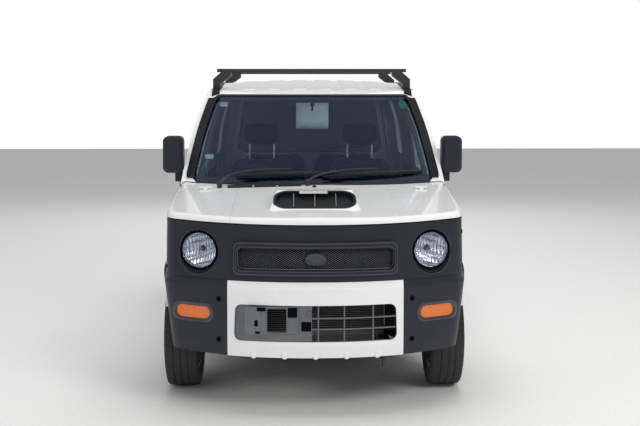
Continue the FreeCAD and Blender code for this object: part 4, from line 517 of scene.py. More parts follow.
PAINT = {"vary": 0.004, "grain": 260.0, "bump": 0.03, "coat": 0.7}
white_paint = surface_material("white_paint", (0.80, 0.808, 0.812), 0.26, **PAINT, dirt=0.03,
                               dirt_colour=(0.5, 0.47, 0.42))
bonnet_paint = surface_material("bonnet_paint", (0.80, 0.808, 0.812), 0.26, **PAINT)
add_creases(bonnet_paint, 0.392, 0.006, 0.0030)
grained_plastic = surface_material("grained_plastic", (0.0150, 0.0175, 0.0255), 0.44, vary=0.12, grain=520.0,
                                   bump=0.50, depth=0.0005, dirt=0.08, dirt_colour=(0.10, 0.10, 0.10),
                                   shine=0.36)
bead_plastic = surface_material("bead_plastic", (0.024, 0.027, 0.037), 0.20, vary=0.08, grain=300.0,
                                bump=0.05, shine=0.8)
# Darker than the front panel's plastic: painted shade inside the dishes round the headlamps.
dish_shade_plastic = surface_material("dish_shade_plastic", (0.008, 0.009, 0.012), 0.40, vary=0.12, grain=520.0, bump=0.3,
                                shine=0.30)
slat_plastic = surface_material("slat_plastic", (0.14, 0.15, 0.17), 0.36, vary=0.12, grain=420.0, bump=0.15,
                                metallic=0.35)
mesh_grey = surface_material("mesh_grey", (0.12, 0.125, 0.14), 0.28, vary=0.10, grain=420.0, bump=0.05)
# Near-black for black bolts and rims, also used as painted shade behind the grille and in the plate bracket's
# openings.
deep_black = surface_material("deep_black", (0.003, 0.003, 0.004), 0.85, vary=0.2, grain=200.0, bump=0.1,
                              shine=0.08)
black_plastic = surface_material("black_plastic", (0.008, 0.009, 0.011), 0.46, vary=0.2, grain=700.0,
                                 bump=0.25, shine=0.35)
gloss_black = surface_material("gloss_black", (0.010, 0.010, 0.012), 0.16, vary=0.2, grain=300.0, bump=0.03,
                               coat=0.5)
black_rubber = surface_material("black_rubber", (0.020, 0.020, 0.021), 0.72, vary=0.2, grain=400.0, bump=0.3)
tyre_rubber = surface_material("tyre_rubber", (0.028, 0.028, 0.029), 0.82, vary=0.22, grain=350.0, bump=0.35,
                               dirt=0.25, dirt_colour=(0.075, 0.073, 0.070))
black_steel = surface_material("black_steel", (0.028, 0.028, 0.031), 0.38, vary=0.15, grain=300.0, bump=0.15)
grey_steel = surface_material("grey_steel", (0.16, 0.165, 0.175), 0.42, vary=0.12, grain=300.0, bump=0.12,
                              metallic=0.6)
alloy = surface_material("alloy", (0.60, 0.61, 0.63), 0.32, vary=0.05, grain=600.0, bump=0.08, metallic=1.0,
                         dirt=0.3, dirt_colour=(0.10, 0.09, 0.08))
bright_steel = surface_material("bright_steel", (0.62, 0.62, 0.63), 0.28, vary=0.08, grain=500.0,
                                metallic=1.0)
chassis_grey = surface_material("chassis_grey", (0.045, 0.045, 0.047), 0.7, vary=0.2, grain=120.0, bump=0.4,
                                depth=0.0008, dirt=0.6, dirt_colour=(0.12, 0.10, 0.085))
cast_iron = surface_material("cast_iron", (0.12, 0.115, 0.11), 0.7, vary=0.2, grain=250.0, bump=0.6,
                             depth=0.0008, metallic=0.4)
mirror_chrome = surface_material("mirror_chrome", (0.78, 0.80, 0.84), 0.07, vary=0.02, grain=100.0, bump=0.01,
                                 metallic=1.0)
reflector_chrome = surface_material("reflector_chrome", (0.50, 0.54, 0.62), 0.10, vary=0.35, grain=100.0,
                                    bump=0.01, metallic=1.0)
# Pale grey painted as a reflection of the sky on the scoop's upper lip.
reflection_grey = surface_material("reflection_grey", (0.42, 0.42, 0.40), 0.5, vary=0.05, grain=200.0, bump=0.05)
cabin_plastic = surface_material("cabin_plastic", (0.024, 0.025, 0.029), 0.7, vary=0.12, grain=600.0,
                                 bump=0.4)
# Light grey trim of the headliner, pillars and visors, darkened as painted shade of the cabin.
shaded_cabin_grey = surface_material("shaded_cabin_grey", (0.13, 0.135, 0.135), 0.8, vary=0.08, grain=500.0, bump=0.3)
carpet = surface_material("carpet", (0.045, 0.046, 0.050), 0.95, vary=0.3, grain=900.0, bump=0.9, depth=0.002,
                          sheen=0.3)
blank_card = surface_material("blank_card", (0.95, 0.97, 0.93), 0.6, vary=0.03, grain=150.0, bump=0.1)
green_vinyl = surface_material("green_vinyl", (0.015, 0.30, 0.16), 0.4, vary=0.06, grain=150.0, bump=0.05)
amber = surface_material("amber", (0.80, 0.17, 0.008), 0.16, vary=0.05, grain=90.0, bump=0.05, coat=0.7)
add_ribs(amber, "X", 0.0075, 0.0009)
tail_lens = banded_lens("tail_lens", ((0.0, (0.30, 0.006, 0.006)), (0.688, (0.55, 0.55, 0.56)),
                                      (0.735, (0.70, 0.16, 0.01)), (0.792, (0.42, 0.010, 0.010))))
window_glass = glass_material("window_glass", (0.62, 0.73, 0.82), shine=0.13, shine_tint=(0.35, 0.52, 0.95))
privacy_glass = glass_material("privacy_glass", (0.028, 0.031, 0.038), shine=0.40)
lamp_glass = glass_material("lamp_glass", (0.95, 0.97, 1.0), ripple=0.01)
add_ribs(lamp_glass, "X", 0.0120, 0.0004)
seat_cloth = woven_material("seat_cloth", (0.012, 0.013, 0.017), (0.036, 0.038, 0.047), 220.0)

FINISHES = {
    white_paint: ("side_frames", "roof_panel", "rear_panel", "front_wings", "cowl", "bumper_centres",
                  "tailgate", "door_front_left", "door_front_right", "door_rear_left", "door_rear_right"),
    bonnet_paint: ("bonnet",),
    grained_plastic: ("front_fascia", "bumper_ends", "arch_lips", "mirror_left", "mirror_right"),
    slat_plastic: ("lower_grille",),
    black_plastic: ("bonnet_scoop", "mouldings", "upper_grille", "headlamp_housings"),
    black_rubber: ("wipers",),
    tyre_rubber: ("tyre_front_left", "tyre_front_right", "tyre_rear_left", "tyre_rear_right"),
    alloy: ("rim_front_left", "rim_front_right", "rim_rear_left", "rim_rear_right"),
    black_steel: ("roof_rack", "suspension"),
    chassis_grey: ("floor_pan", "wheel_housings", "underbody"),
    cast_iron: ("engine_block", "knuckle_left", "knuckle_right"),
    lamp_glass: ("headlamp_lenses",),
    amber: ("indicators",),
    tail_lens: ("rear_lamps",),
    window_glass: ("fixed_glass", "glass_front_left", "glass_front_right"),
    privacy_glass: ("glass_rear_left", "glass_rear_right", "tailgate_glass"),
    cabin_plastic: ("dashboard", "steering_wheel"),
    seat_cloth: ("front_seats", "rear_seat"),
}
for finish, names in FINISHES.items():
    for name in names:
        nodes[name].data.materials.clear()
        nodes[name].data.materials.append(finish)


def make_camera():
    """Camera in front of the car, a little above and to its right, at the photograph's angle."""
    data = bpy.data.cameras.new("camera")
    data.sensor_width = 36.0
    data.lens = 62.574
    data.shift_y = -65.0 / 640.0
    data.clip_end = 100.0
    camera = bpy.data.objects.new("camera", data)
    camera.location = (-0.0735, -4.972 - LENGTH / 2, 1.5096)
    camera.rotation_euler = (math.radians(90.0 - 3.209), 0.0, -0.0186)
    bpy.context.collection.objects.link(camera)
    bpy.context.scene.camera = camera


def make_light(name, place, target, size, power, colour=(1, 1, 1)):
    """A soft rectangular lamp aimed at a point."""
    data = bpy.data.lights.new(name, "AREA")
    data.shape = "RECTANGLE"
    data.size, data.size_y = size
    data.energy = power
    data.color = colour
    lamp = bpy.data.objects.new(name, data)
    lamp.location = place
    lamp.rotation_euler = (Vector(target) - Vector(place)).to_track_quat("-Z", "Y").to_euler()
    lamp.visible_glossy = False
    bpy.context.collection.objects.link(lamp)
    return lamp


def make_stage():
    """Pale floor, white surroundings for the camera, and an even, dimmer sky for light and reflections."""
    bpy.context.scene.view_settings.view_transform = "Standard"
    material, tree, shader = nodes_of("floor")
    shader.inputs["Roughness"].default_value = 0.9
    pale = ramp(tree, noise(tree, 40.0, 6.0), ((0.3, (0.76, 0.76, 0.76)), (0.7, (0.80, 0.80, 0.795))))
    tree.links.new(pale, shader.inputs["Base Color"])
    u, v = np.meshgrid(np.linspace(-20, 20, 5), np.linspace(-20, 20, 5), indexing="ij")
    points = np.stack([u, v, np.full_like(u, -0.0005)], -1)
    floor = make_mesh("floor", points.reshape(-1, 3), grid_faces(5, 5).tolist(), None, material, smooth=False)
    world = bpy.data.worlds.new("sky")
    bpy.context.scene.world = world
    world.use_nodes = True
    tree = world.node_tree
    background = tree.nodes["Background"]
    rays = node(tree, "ShaderNodeLightPath")
    level = node(tree, "ShaderNodeMapRange", {"Value": rays.outputs["Is Camera Ray"], "To Min": 0.50,
                                              "To Max": 1.0})
    tree.links.new(level.outputs[0], background.inputs["Strength"])
    background.inputs["Color"].default_value = (1.0, 1.0, 1.0, 1.0)
    make_light("key", (4.0, -6.0, 4.6), (0, -0.6, 0.6), (3.0, 2.0), 215.0, (1.0, 0.985, 0.96))
    overhead = make_light("top", (0.5, 0.0, 6.0), (0, 0, 0.8), (6.0, 4.0), 165.0)
    overhead.visible_transmission = False
    make_light("fill", (-5.0, -4.0, 2.5), (0, -0.8, 0.6), (3.0, 3.0), 45.0)
    make_light("back", (0.0, 6.5, 4.0), (0, 1.0, 0.8), (5.0, 3.0), 90.0)


def make_tyres():
    """Tyres: a carcass profile turned about the axle, whose tread blocks stand between grooves.

    The radius at (across, angle) is the profile's radius less the groove depth wherever the point lies in one
    of three straight grooves or in a slanted sipe that repeats round the tread."""
    crown = AXLE_HEIGHT
    around = 216
    left = np.array([(-0.060, RIM_RADIUS + 0.001), (-0.066, RIM_RADIUS + 0.012), (-0.078, RIM_RADIUS + 0.026),
                     (-0.0822, RIM_RADIUS + 0.044), (-0.0818, RIM_RADIUS + 0.060), (-0.0775, crown - 0.012)])
    tread = np.linspace(-TREAD_HALF, TREAD_HALF, 41)
    outer = crown - 0.0045 * np.abs(tread / TREAD_HALF) ** 3.0
    inner = np.array([(0.055, RIM_RADIUS + 0.001), (-0.055, RIM_RADIUS + 0.001)])
    profile = np.vstack([left, np.stack([tread, outer], 1), left[::-1] * (-1, 1), inner])
    angle = circle(around)
    x = np.broadcast_to(profile[:, 0], (around, len(profile))).copy()
    r = np.broadcast_to(profile[:, 1], (around, len(profile))).copy()
    in_tread = np.zeros(len(profile), bool)
    in_tread[len(left):len(left) + len(tread)] = True
    groove = np.zeros_like(r)
    for centre in (-0.033, 0.0, 0.033):
        groove = np.maximum(groove, (np.abs(x - centre) < 0.0038).astype(float))
    phase = (angle[:, None] * 54 / (2 * np.pi) + x * 14.0 * np.sign(x)) % 1.0
    groove = np.maximum(groove, (phase < 0.25).astype(float) * (np.abs(x) > 0.036) * 0.8)
    groove = np.maximum(groove, (phase < 0.25).astype(float) * (np.abs(x) < 0.030) * 0.5)
    r -= 0.0065 * groove * in_tread[None, :]
    wall = ((np.abs(x) > 0.075) & (r < crown - 0.014)).astype(float)
    swell = 0.0004 * np.sin(angle * 108)[:, None] * wall
    points = np.stack([x + np.sign(x) * swell, np.cos(angle)[:, None] * r, np.sin(angle)[:, None] * r], -1)
    for end, side, sign, s in WHEELS:
        moved = points * (sign, 1, 1) + (sign * WHEEL_X, along(s), AXLE_HEIGHT)
        name = f"tyre_{end}_{side}"
        piece = joined(f"{name}_tread", [grid_part(moved, True, True)], f"wheel_{end}_{side}", tyre_rubber)
        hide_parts(name)


def make_wheel_details():
    """Nuts with domed heads, a hub cap and a tyre valve on each wheel."""
    nut = ((0.0, 0.0), (0.0, 0.0095), (0.004, 0.0095), (0.005, 0.0080), (0.016, 0.0078), (0.0185, 0.0055),
           (0.0195, 0.0))
    cap = ((0.0, 0.0), (0.0, 0.031), (0.003, 0.031), (0.0055, 0.028), (0.007, 0.018), (0.0075, 0.0))
    for end, side, sign, s in WHEELS:
        centre = np.array([sign * (WHEEL_X + HUB_FACE + 0.0016), along(s), AXLE_HEIGHT])
        body = f"wheel_{end}_{side}"
        nuts = []
        for a in math.pi / 4 + circle(4):
            place = centre + (sign * -0.0010, NUT_CIRCLE * math.cos(a), NUT_CIRCLE * math.sin(a))
            nuts.append(turned(nut, place, (sign, 0, 0), 12, closed=False))
        joined(f"wheel_nuts_{end}_{side}", nuts, body, bright_steel, sharp=30)
        joined(f"hub_cap_{end}_{side}", [turned(cap, centre, (sign, 0, 0), 32, closed=False)], body,
               gloss_black, sharp=40)
        start = centre + (sign * -0.004, 0.0, -0.158)
        path = [start, start + (sign * 0.012, 0, -0.002), start + (sign * 0.020, 0, 0.004)]
        joined(f"tyre_valve_{end}_{side}", [tube(path, 0.0042, 10)], body, black_rubber)


def make_upper_grille():
    """Upper grille: two families of slanting strands that cross into diamonds, a bare oval disc, and painted
    shade behind.

    A strand through x0 at mid-height lies on x = x0 + slope * height, clipped to the opening; its station is
    the nose's bow 18 mm behind the front panel. The disc is a rounded oval whose rim stands up."""
    reach = GRILLE_HALF + MESH_SLOPE * GRILLE_RISE
    starts = np.arange(-reach + MESH_PITCH / 2, reach, MESH_PITCH)[:, None]
    low = np.maximum(-GRILLE_RISE, (-GRILLE_HALF - starts) / MESH_SLOPE)
    high = np.minimum(GRILLE_RISE, (GRILLE_HALF - starts) / MESH_SLOPE)
    v = low + (high - low) * np.linspace(0, 1, 10)
    x = starts + MESH_SLOPE * v
    parts = []
    for sign in (1, -1):
        paths = fascia_surface(sign * x, GRILLE_Z + v, -0.0180)
        parts.append(tubes(paths, 0.0008, 5, up=(0, 1, 0)))
    edge = rectangle(-GRILLE_HALF, GRILLE_HALF, GRILLE_Z - GRILLE_RISE, GRILLE_Z + GRILLE_RISE, 0.020)
    line = rounded_outline(edge, 6, 40)
    parts.append(tube(fascia_surface(line[:, 0], line[:, 1], -0.0175), 0.0028, 8, up=(0, 1, 0), closed=True))
    mesh = joined("upper_grille_mesh", parts, "body", mesh_grey)
    beads = []
    for grow, radius, out in ((0.0125, 0.0042, 0.0132), (0.0035, 0.0036, 0.0132)):
        half, low, high = 0.360 + grow, 0.673 - grow * 1.55, 0.771 + grow * 1.9
        line = rounded_outline(rectangle(-half, half, low, high, 0.024), 8, 40)
        beads.append(tube(fascia_surface(line[:, 0], line[:, 1], out), radius, 10, up=(0, 1, 0), closed=True))
    joined("grille_frame_beads", beads, "body", bead_plastic)
    disc = oval(96, 0.048, 0.0285, 0.84, 0.84)
    rows = [placed(disc[:, 0] * share, s, GRILLE_Z + disc[:, 1] * share)
            for share, s in ((0.0, 0.0330), (0.5, 0.0330), (0.80, 0.0332), (0.84, 0.0322), (0.87, 0.0304),
                             (0.93, 0.0300), (0.98, 0.0306), (1.0, 0.0325), (1.0, 0.0450), (0.5, 0.0450),
                             (0.0, 0.0450))]
    joined("upper_grille_disc", [grid_part(np.stack(rows), wrap_columns=True)], "body", bead_plastic,
           sharp=50)
    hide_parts("upper_grille")
    # Near-black sheet behind the mesh: painted shade in the grille's depth.
    x, z = np.meshgrid(np.linspace(-0.385, 0.385, 40), np.linspace(0.655, 0.795, 6), indexing="ij")
    joined("grille_back_shade", [slab(fascia_surface(x, z, -0.052), fascia_surface(x, z, -0.055))], "body",
           deep_black)


def lamp_place(points, sign):
    """Moves points drawn as (across, depth, up) about a headlamp's centre onto the lamp, turned outwards."""
    c, s = math.cos(LAMP_TURN), math.sin(LAMP_TURN)
    x = LAMP_X + points[..., 0] * c - points[..., 1] * s
    station = LAMP_S + points[..., 0] * s + points[..., 1] * c
    return placed(sign * x, station, LAMP_Z + points[..., 2])


def lamp_turned(profile, steps, flutes=0.0):
    """Profile of (depth, radius) turned about the lamp's axis, pushed forwards in upright flutes."""
    profile = np.asarray(profile, float)
    a = circle(steps)
    x = profile[:, 1, None] * np.cos(a)
    z = profile[:, 1, None] * np.sin(a)
    depth = np.broadcast_to(profile[:, 0, None], x.shape).copy()
    share = np.abs(x / 0.014 % 1.0 - 0.5) * 2
    step = np.abs((z + 0.004 * np.floor(x / 0.014)) / 0.031 % 1.0 - 0.5) * 2
    inside = (profile[:, 1, None] < 0.0774) & (profile[:, 1, None] > 0.014)
    depth -= flutes * (1 - share ** 2 + 0.8 * (1 - step ** 2)) * inside
    return np.stack([x, depth, z], -1)


def make_headlamps():
    """Headlamps: a bright bowl with upright flutes, a bulb with a capped tip, a black rim and a dish lined in
    darker plastic as painted shade.

    The dish is a cone from the lamp's opening out to an edge that lies furthest out below and inboard."""
    r = np.linspace(0.0772, 0.0120, 40)
    bowl = [(0.0066, 0.0806), (0.0070, 0.0796), (0.0250, 0.0790), (0.0300, 0.0774)]
    bowl += list(zip(0.0315 + 0.0330 * (1 - (r / 0.0775) ** 2), r))
    back = [(0.0672, 0.0120), (0.0340, 0.0776), (0.0290, 0.0800), (0.0080, 0.0812)]
    rim = [(-0.0034, 0.0822), (-0.0052, 0.0840), (-0.0056, 0.0868), (-0.0040, 0.0894), (-0.0029, 0.0894),
           (-0.0029, 0.0822)]
    bulb = [(0.0660, 0.0), (0.0660, 0.0070), (0.0520, 0.0075), (0.0400, 0.0070), (0.0360, 0.0050),
            (0.0345, 0.0)]
    cap = [(0.0420, 0.0), (0.0420, 0.0079), (0.0360, 0.0078), (0.0325, 0.0055), (0.0315, 0.0)]
    for side, sign in SIDES:
        points = lamp_turned(bowl + back, 144, flutes=0.0036)
        joined(f"lamp_reflector_{side}", [grid_part(lamp_place(points, sign), True, True)], "body",
               reflector_chrome)
        # The dish's lining is darker than the panel round it: painted shade of the recess.
        a = circle(96)
        edge = 0.1018 - 0.0045 * np.cos(a) - 0.0040 * np.sin(a) - 0.00325 * np.cos(2 * a)
        rows = []
        for share, lift in ((0.0, 0.0003), (0.0, 0.0010), (1.0, 0.0010), (1.0, 0.0003)):
            radius = 0.0909 + (edge - 0.0909) * share - 0.8 * lift
            depth = -(radius - DISH_RADIUS) / 0.7 - 0.3 * lift
            rows.append(np.stack([radius * np.cos(a), depth, radius * np.sin(a)], -1))
        joined(f"lamp_dish_{side}", [grid_part(lamp_place(np.stack(rows), sign), True, True)], "body",
               dish_shade_plastic, sharp=40)
        line = np.stack([edge * np.cos(a), -(edge - DISH_RADIUS) / 0.7 - 0.0002, edge * np.sin(a)], -1)
        joined(f"lamp_dish_bead_{side}", [tube(lamp_place(line, sign), 0.0022, 8, up=(0, 1, 0), closed=True)],
               "body", bead_plastic)
        for name, profile, material, closed in (("lamp_rim", rim, deep_black, True),
                                                ("lamp_bulb", bulb, lamp_glass, False),
                                                ("lamp_bulb_cap", cap, grey_steel, False)):
            points = lamp_turned(profile, 64 if closed else 24)
            joined(f"{name}_{side}", [grid_part(lamp_place(points, sign), closed, True)], "body", material)


def bolt(place, normal, radius):
    """Part of a round-headed bolt with a socket, its head standing on a surface."""
    r = radius
    profile = ((0.0006, 0.0), (0.0006, 0.34 * r), (0.0030, 0.40 * r), (0.0034, 0.70 * r), (0.0026, 0.90 * r),
               (0.0008, r), (-0.0030, r), (-0.0030, 0.0))
    return turned(profile, place, normal, 20, closed=False)


def cast(name, start, direction):
    """Where a straight line first meets a CAD node, and the surface's outward direction there."""
    hit, place, normal, _ = nodes[name].ray_cast(Vector(start), Vector(direction))
    if not hit:
        raise RuntimeError(f"no surface of {name} beyond {start}")
    return np.array(place), np.array(normal)


def make_front_details():
    """Small parts of the nose, from bolts to the radiator's fins.

    Bolts of the bumper's end pieces, screws of the front panel, round studs along the bumper's lower edge,
    bezels of the indicators, clips of the plate bracket with near-black plates painted as the shade in its
    openings, the intake's lip, air guides, the radiator's fins, black wedges painted as the shade in the
    cowl's slots, and the washer nozzle."""
    bolts = []
    for sign in (1, -1):
        for z in (0.536, 0.348):
            here, there = bumper_surface(np.array([0.444, 0.446]) * sign, z, 0.0)
            normal = np.cross((there - here) * sign, (0, 0, 1))
            bolts.append(bolt(here, normal / np.linalg.norm(normal), 0.0122))
    joined("bumper_bolts", bolts, "body", deep_black, sharp=35)
    screws = []
    for sign, z in ((1, 0.817), (1, 0.655), (-1, 0.655)):
        place, normal = cast("front_fascia", (sign * 0.9, along(0.285), z), (-sign, 0, 0))
        screws.append(bolt(place, normal, 0.0100))
    joined("fascia_screws", screws, "body", deep_black, sharp=35)
    studs = []
    for x in (-0.282, -0.141, 0.0, 0.141, 0.282):
        profile = ((0.0, 0.0), (0.0, 0.0185), (0.010, 0.0180), (0.016, 0.0160), (0.0205, 0.0115),
                   (0.0225, 0.0060), (0.0230, 0.0))
        bow = float(nose_station(np.array(x), 0.0))
        points, faces = turned(profile, (x, along(bow + 0.0232), 0.0), (0, -1, 0), 32, closed=False)
        studs.append((points * (1, 1, 1.22) + (0, 0, 0.2895), faces))
    joined("bumper_studs", studs, "body", white_paint)
    bezels = []
    for sign in (1, -1):
        def corners(grow, r):
            box = rectangle(0.485 - grow, 0.649 + grow, 0.436 - grow, 0.496 + grow, r)
            return rounded_outline([(sign * x, z, rr) for x, z, rr in box][::sign], 8, 16)
        section = ((0.016, 0.036, -0.001), (0.016, 0.036, 0.0015), (0.011, 0.034, 0.0045),
                   (0.006, 0.032, 0.0040), (-0.001, 0.0285, -0.0030), (0.002, 0.0285, -0.004))
        bezels.append(loops_part([(corners(grow, r), out) for grow, r, out in section], bumper_surface))
    joined("indicator_bezels", bezels, "body", bead_plastic, sharp=60)
    rim = rounded_outline(rectangle(-0.222, -0.131, 0.393, 0.505, 0.008), 6, 12)
    parts = [tube(placed(rim[:, 0], 0.0048, rim[:, 1]), 0.0024, 8, up=(0, 1, 0), closed=True)]
    for x, z in ((-0.236, 0.478), (-0.262, 0.412), (-0.029, 0.481)):
        parts.append(plate_part(rectangle(x - 0.011, x + 0.011, z - 0.011, z + 0.011, 0.002),
                                lambda a, b, out: placed(a, 0.0055 - out, b), -0.0035, 0.0035, 0.001))
    joined("plate_bracket_clips", parts, "body", grey_steel, sharp=40)
    # Near-black plates set just inside the bracket: painted shade in its openings.
    holes = []
    for x0, x1, z0, z1, base in ((-0.267, -0.226, 0.492, 0.510, 0.0), (-0.278, -0.262, 0.424, 0.452, 0.0),
                                 (-0.274, -0.252, 0.390, 0.402, 0.0), (-0.127, -0.084, 0.462, 0.508, 0.0),
                                 (-0.066, -0.020, 0.398, 0.442, 1.0)):
        corners = rectangle(x0, x1, z0, z1, 0.004)
        holes.append(plate_part(corners, lambda a, b, out: placed(a, 0.0058 + 0.0034 * base - out, b), -0.001,
                                0.0004, 0.0002))
    joined("plate_bracket_hole_shades", holes, "body", deep_black)
    lip = rounded_outline([(-0.3770, 0.3450, 0.035), (0.3770, 0.3450, 0.035), (0.3710, 0.5200, 0.035),
                           (-0.3710, 0.5200, 0.035)], 8, 40)
    lip = tube(bumper_surface(lip[:, 0], lip[:, 1], -0.0052), 0.0048, 10, up=(0, 1, 0), closed=True)
    joined("intake_lip", [lip], "body", white_paint)
    guides = []
    for sign in (1, -1):
        u, z = np.meshgrid(np.linspace(0, 1, 8), np.linspace(0.330, 0.600, 6), indexing="ij")
        x = 0.392 - 0.058 * u
        s = 0.100 + 0.184 * u
        guides.append(slab(placed(sign * x, s, z), placed(sign * (x + 0.004), s, z)))
    joined("radiator_air_guides", guides, "body", black_plastic)
    rows = np.arange(0.345, 0.685, 0.0105)
    x = np.linspace(-0.326, 0.326, 3)
    fins = np.stack([placed(x, 0.2838, np.full(3, z)) for z in rows])
    joined("radiator_fins", [tubes(fins, 0.0022, 5, up=(0, 1, 0))], "body", black_plastic)
    # Black wedges on the white cowl: painted shade in its slots.
    cowl = []
    for x0, x1 in ((-0.448, -0.318), (-0.309, -0.194), (-0.185, -0.063)):
        s, x = np.meshgrid(np.linspace(0.8005, 0.8315, 6), np.linspace(x0, x1, 12), indexing="ij")
        z = bonnet_z(x, s)
        lift = 0.0006 + 0.0105 * (s - 0.8005) / 0.031
        cowl.append(slab(placed(x, s, z + lift), placed(x, s, z - 0.002)))
    joined("cowl_slot_shades", cowl, "body", black_plastic, sharp=40)
    foot = (0.004, along(0.7780), 0.9855)
    nozzle = turned(((-0.004, 0.0), (-0.004, 0.011), (0.001, 0.011), (0.005, 0.008), (0.0085, 0.005),
                     (0.0095, 0.0)), foot, (0, -0.1, 1), 20, closed=False)
    joined("washer_nozzle", [nozzle], "bonnet", black_plastic, sharp=50)


def scoop_face(across, rise, out):
    """Point on the scoop's slanted face: rise runs up the slope and out stands off it."""
    (s, z), (c, up) = SCOOP_FOOT, SCOOP_RISE
    return placed(across, s + c * rise - up * out, z + up * rise + c * out)


def make_scoop_details():
    """Scoop: grey highlights painted on its three black vanes' front edges, and a bare pale strip painted as
    a reflection on the frame's upper rim.
    """
    edges = []
    # Grey strips on the black vanes' front edges: painted highlights.
    for x in SCOOP_VANES:
        edge = rectangle(x - 0.0024, x + 0.0024, 0.048, 0.180, 0.001)
        edges.append(plate_part(edge, scoop_face, -0.0070, -0.0040, 0.0005))
    joined("scoop_vane_highlights", edges, "bonnet", mesh_grey, sharp=40)
    # Pale strip on the frame's upper rim: a painted reflection.
    strip = plate_part(rectangle(-0.074, 0.062, 0.164, 0.1885, 0.004), scoop_face, 0.0028, 0.0044, 0.0006)
    joined("scoop_lip_reflection", [strip], "bonnet", reflection_grey, sharp=40)


def blade_spine(x0, t):
    """Place across and up the glass, and height off it, of a wiper blade's spine at t from -1 to 1."""
    return x0 + 0.350 + 0.272 * t, 1.0330 + 0.0090 * t, 0.0235 - 0.0135 * t ** 2


def make_wipers():
    """Wipers: capped pivots, tapering arms that rise and run low over the glass, and bowed blades.

    An arm's path has its corners cut smooth and its radius shrinks along it; a blade's spine stands off the
    windscreen by a parabola of the place along it, highest where the arm holds it."""
    arms, blades = [], []
    for x0 in WIPER_X:
        foot = np.array([x0, along(0.820), 0.9905 - BONNET_CROWN * abs(x0)])
        arms.append(turned(((0.0, 0.0), (0.0, 0.013), (0.012, 0.013), (0.017, 0.0155), (0.026, 0.0150),
                            (0.031, 0.011), (0.033, 0.0)), foot, (0, 0, 1), 24, closed=False))
        knee = screen_surface(x0 + 0.040, 1.012, 0.036)
        middle = screen_surface(x0 + 0.180, 1.036, 0.040)
        tip = screen_surface(x0 + 0.372, 1.048, 0.0285)
        path = smooth_path([foot + (0, 0, 0.020), knee, middle, tip])
        arms.append(tube(path, np.linspace(0.0115, 0.0058, len(path)), 10, flat=0.6))
        t = np.linspace(-1, 1, 41)
        x, z, height = blade_spine(x0, t)
        arms.append(tube(screen_surface(x, z, height), 0.0052 - 0.0024 * t ** 2, 8, flat=0.8))
        for at in (-0.62, -0.30, 0.30, 0.62):
            foot_x, foot_z, top = blade_spine(x0, at)
            claw = np.stack([screen_surface(foot_x, foot_z, top), screen_surface(foot_x, foot_z, 0.0085)])
            arms.append(tube(claw, 0.0034, 6, up=(1, 0, 0)))
        low, high = screen_surface(x, z, 0.0014), screen_surface(x, z, 0.0095)
        side = np.array([0.0, 0.0030, 0.0026])
        section = np.stack([low - side * 0.4, low + side * 0.4, high + side, high - side], 1)
        blades.append(grid_part(section, wrap_columns=True, caps=True))
    steel = joined("wiper_arms", arms, "body", black_steel, sharp=45)
    joined("wiper_blades", blades, "body", black_rubber, sharp=30)
    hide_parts("wipers")


def shrunk(corners, side, low, high):
    """Windscreen corners moved inwards by side, low and high margins."""
    (a, az, ar), (b, bz, br), (c, cz, cr) = corners
    half = [(a - side, az + low, max(ar - side, 0.012)), (b - side, bz, br), (c - side, cz - high, cr * 0.7)]
    return half + [(-x, z, r) for x, z, r in half[::-1]]


def make_windscreen_trim():
    """Black band printed round the windscreen's inner face, rubber round its edge, grey lines painted as
    highlights on the pillar mouldings, and blank stickers.
    """
    depths = (-0.0074, -0.0080)
    outer = rounded_outline(shrunk(SCREEN_CORNERS, -0.002, -0.002, -0.002), 8, 30)
    inner = rounded_outline(shrunk(SCREEN_CORNERS, 0.020, 0.034, 0.026), 8, 30)
    band = loops_part([(outer, depths[0]), (inner, depths[0]), (inner, depths[1]), (outer, depths[1])],
                      screen_surface)
    joined("windscreen_band", [band], "body", gloss_black, sharp=40)
    rim = rounded_outline(shrunk(SCREEN_CORNERS, -0.0034, -0.0034, -0.0034), 8, 30)
    lip = rounded_outline(shrunk(SCREEN_CORNERS, 0.0065, 0.0065, 0.0065), 8, 30)
    seal = loops_part([(rim, -0.0006), (rim, 0.0012), (lip, 0.0006), (lip, -0.0006)], screen_surface)
    joined("windscreen_seal", [seal], "body", black_rubber, sharp=40)
    # Grey tubes along the black pillar mouldings' edges: painted highlights.
    lines = []
    for sign in (1, -1):
        z = np.linspace(1.030, 1.440, 30)
        half = screen_half(z) + 0.0045
        lines.append(tube(screen_surface(sign * half, z, 0.0035), 0.0030, 8, up=(sign, 0, 0)))
    joined("pillar_highlight_lines", lines, "body", grey_steel)
    stickers = []
    for x0, x1, z0, z1, r in ((-0.530, -0.485, 1.394, 1.419, 0.004), (-0.588, -0.540, 1.116, 1.138, 0.003)):
        corners = rectangle(x0, x1, z0, z1, r)
        stickers.append(plate_part(corners, screen_surface, -0.0086, -0.0076, 0.0002))
    joined("blank_stickers", stickers, "body", blank_card)
    round_one = rectangle(0.493, 0.559, 1.379, 1.433, 0.0329, 0.0269)
    joined("round_sticker", [plate_part(round_one, screen_surface, -0.0090, -0.0082, 0.0002)], "body",
           green_vinyl)


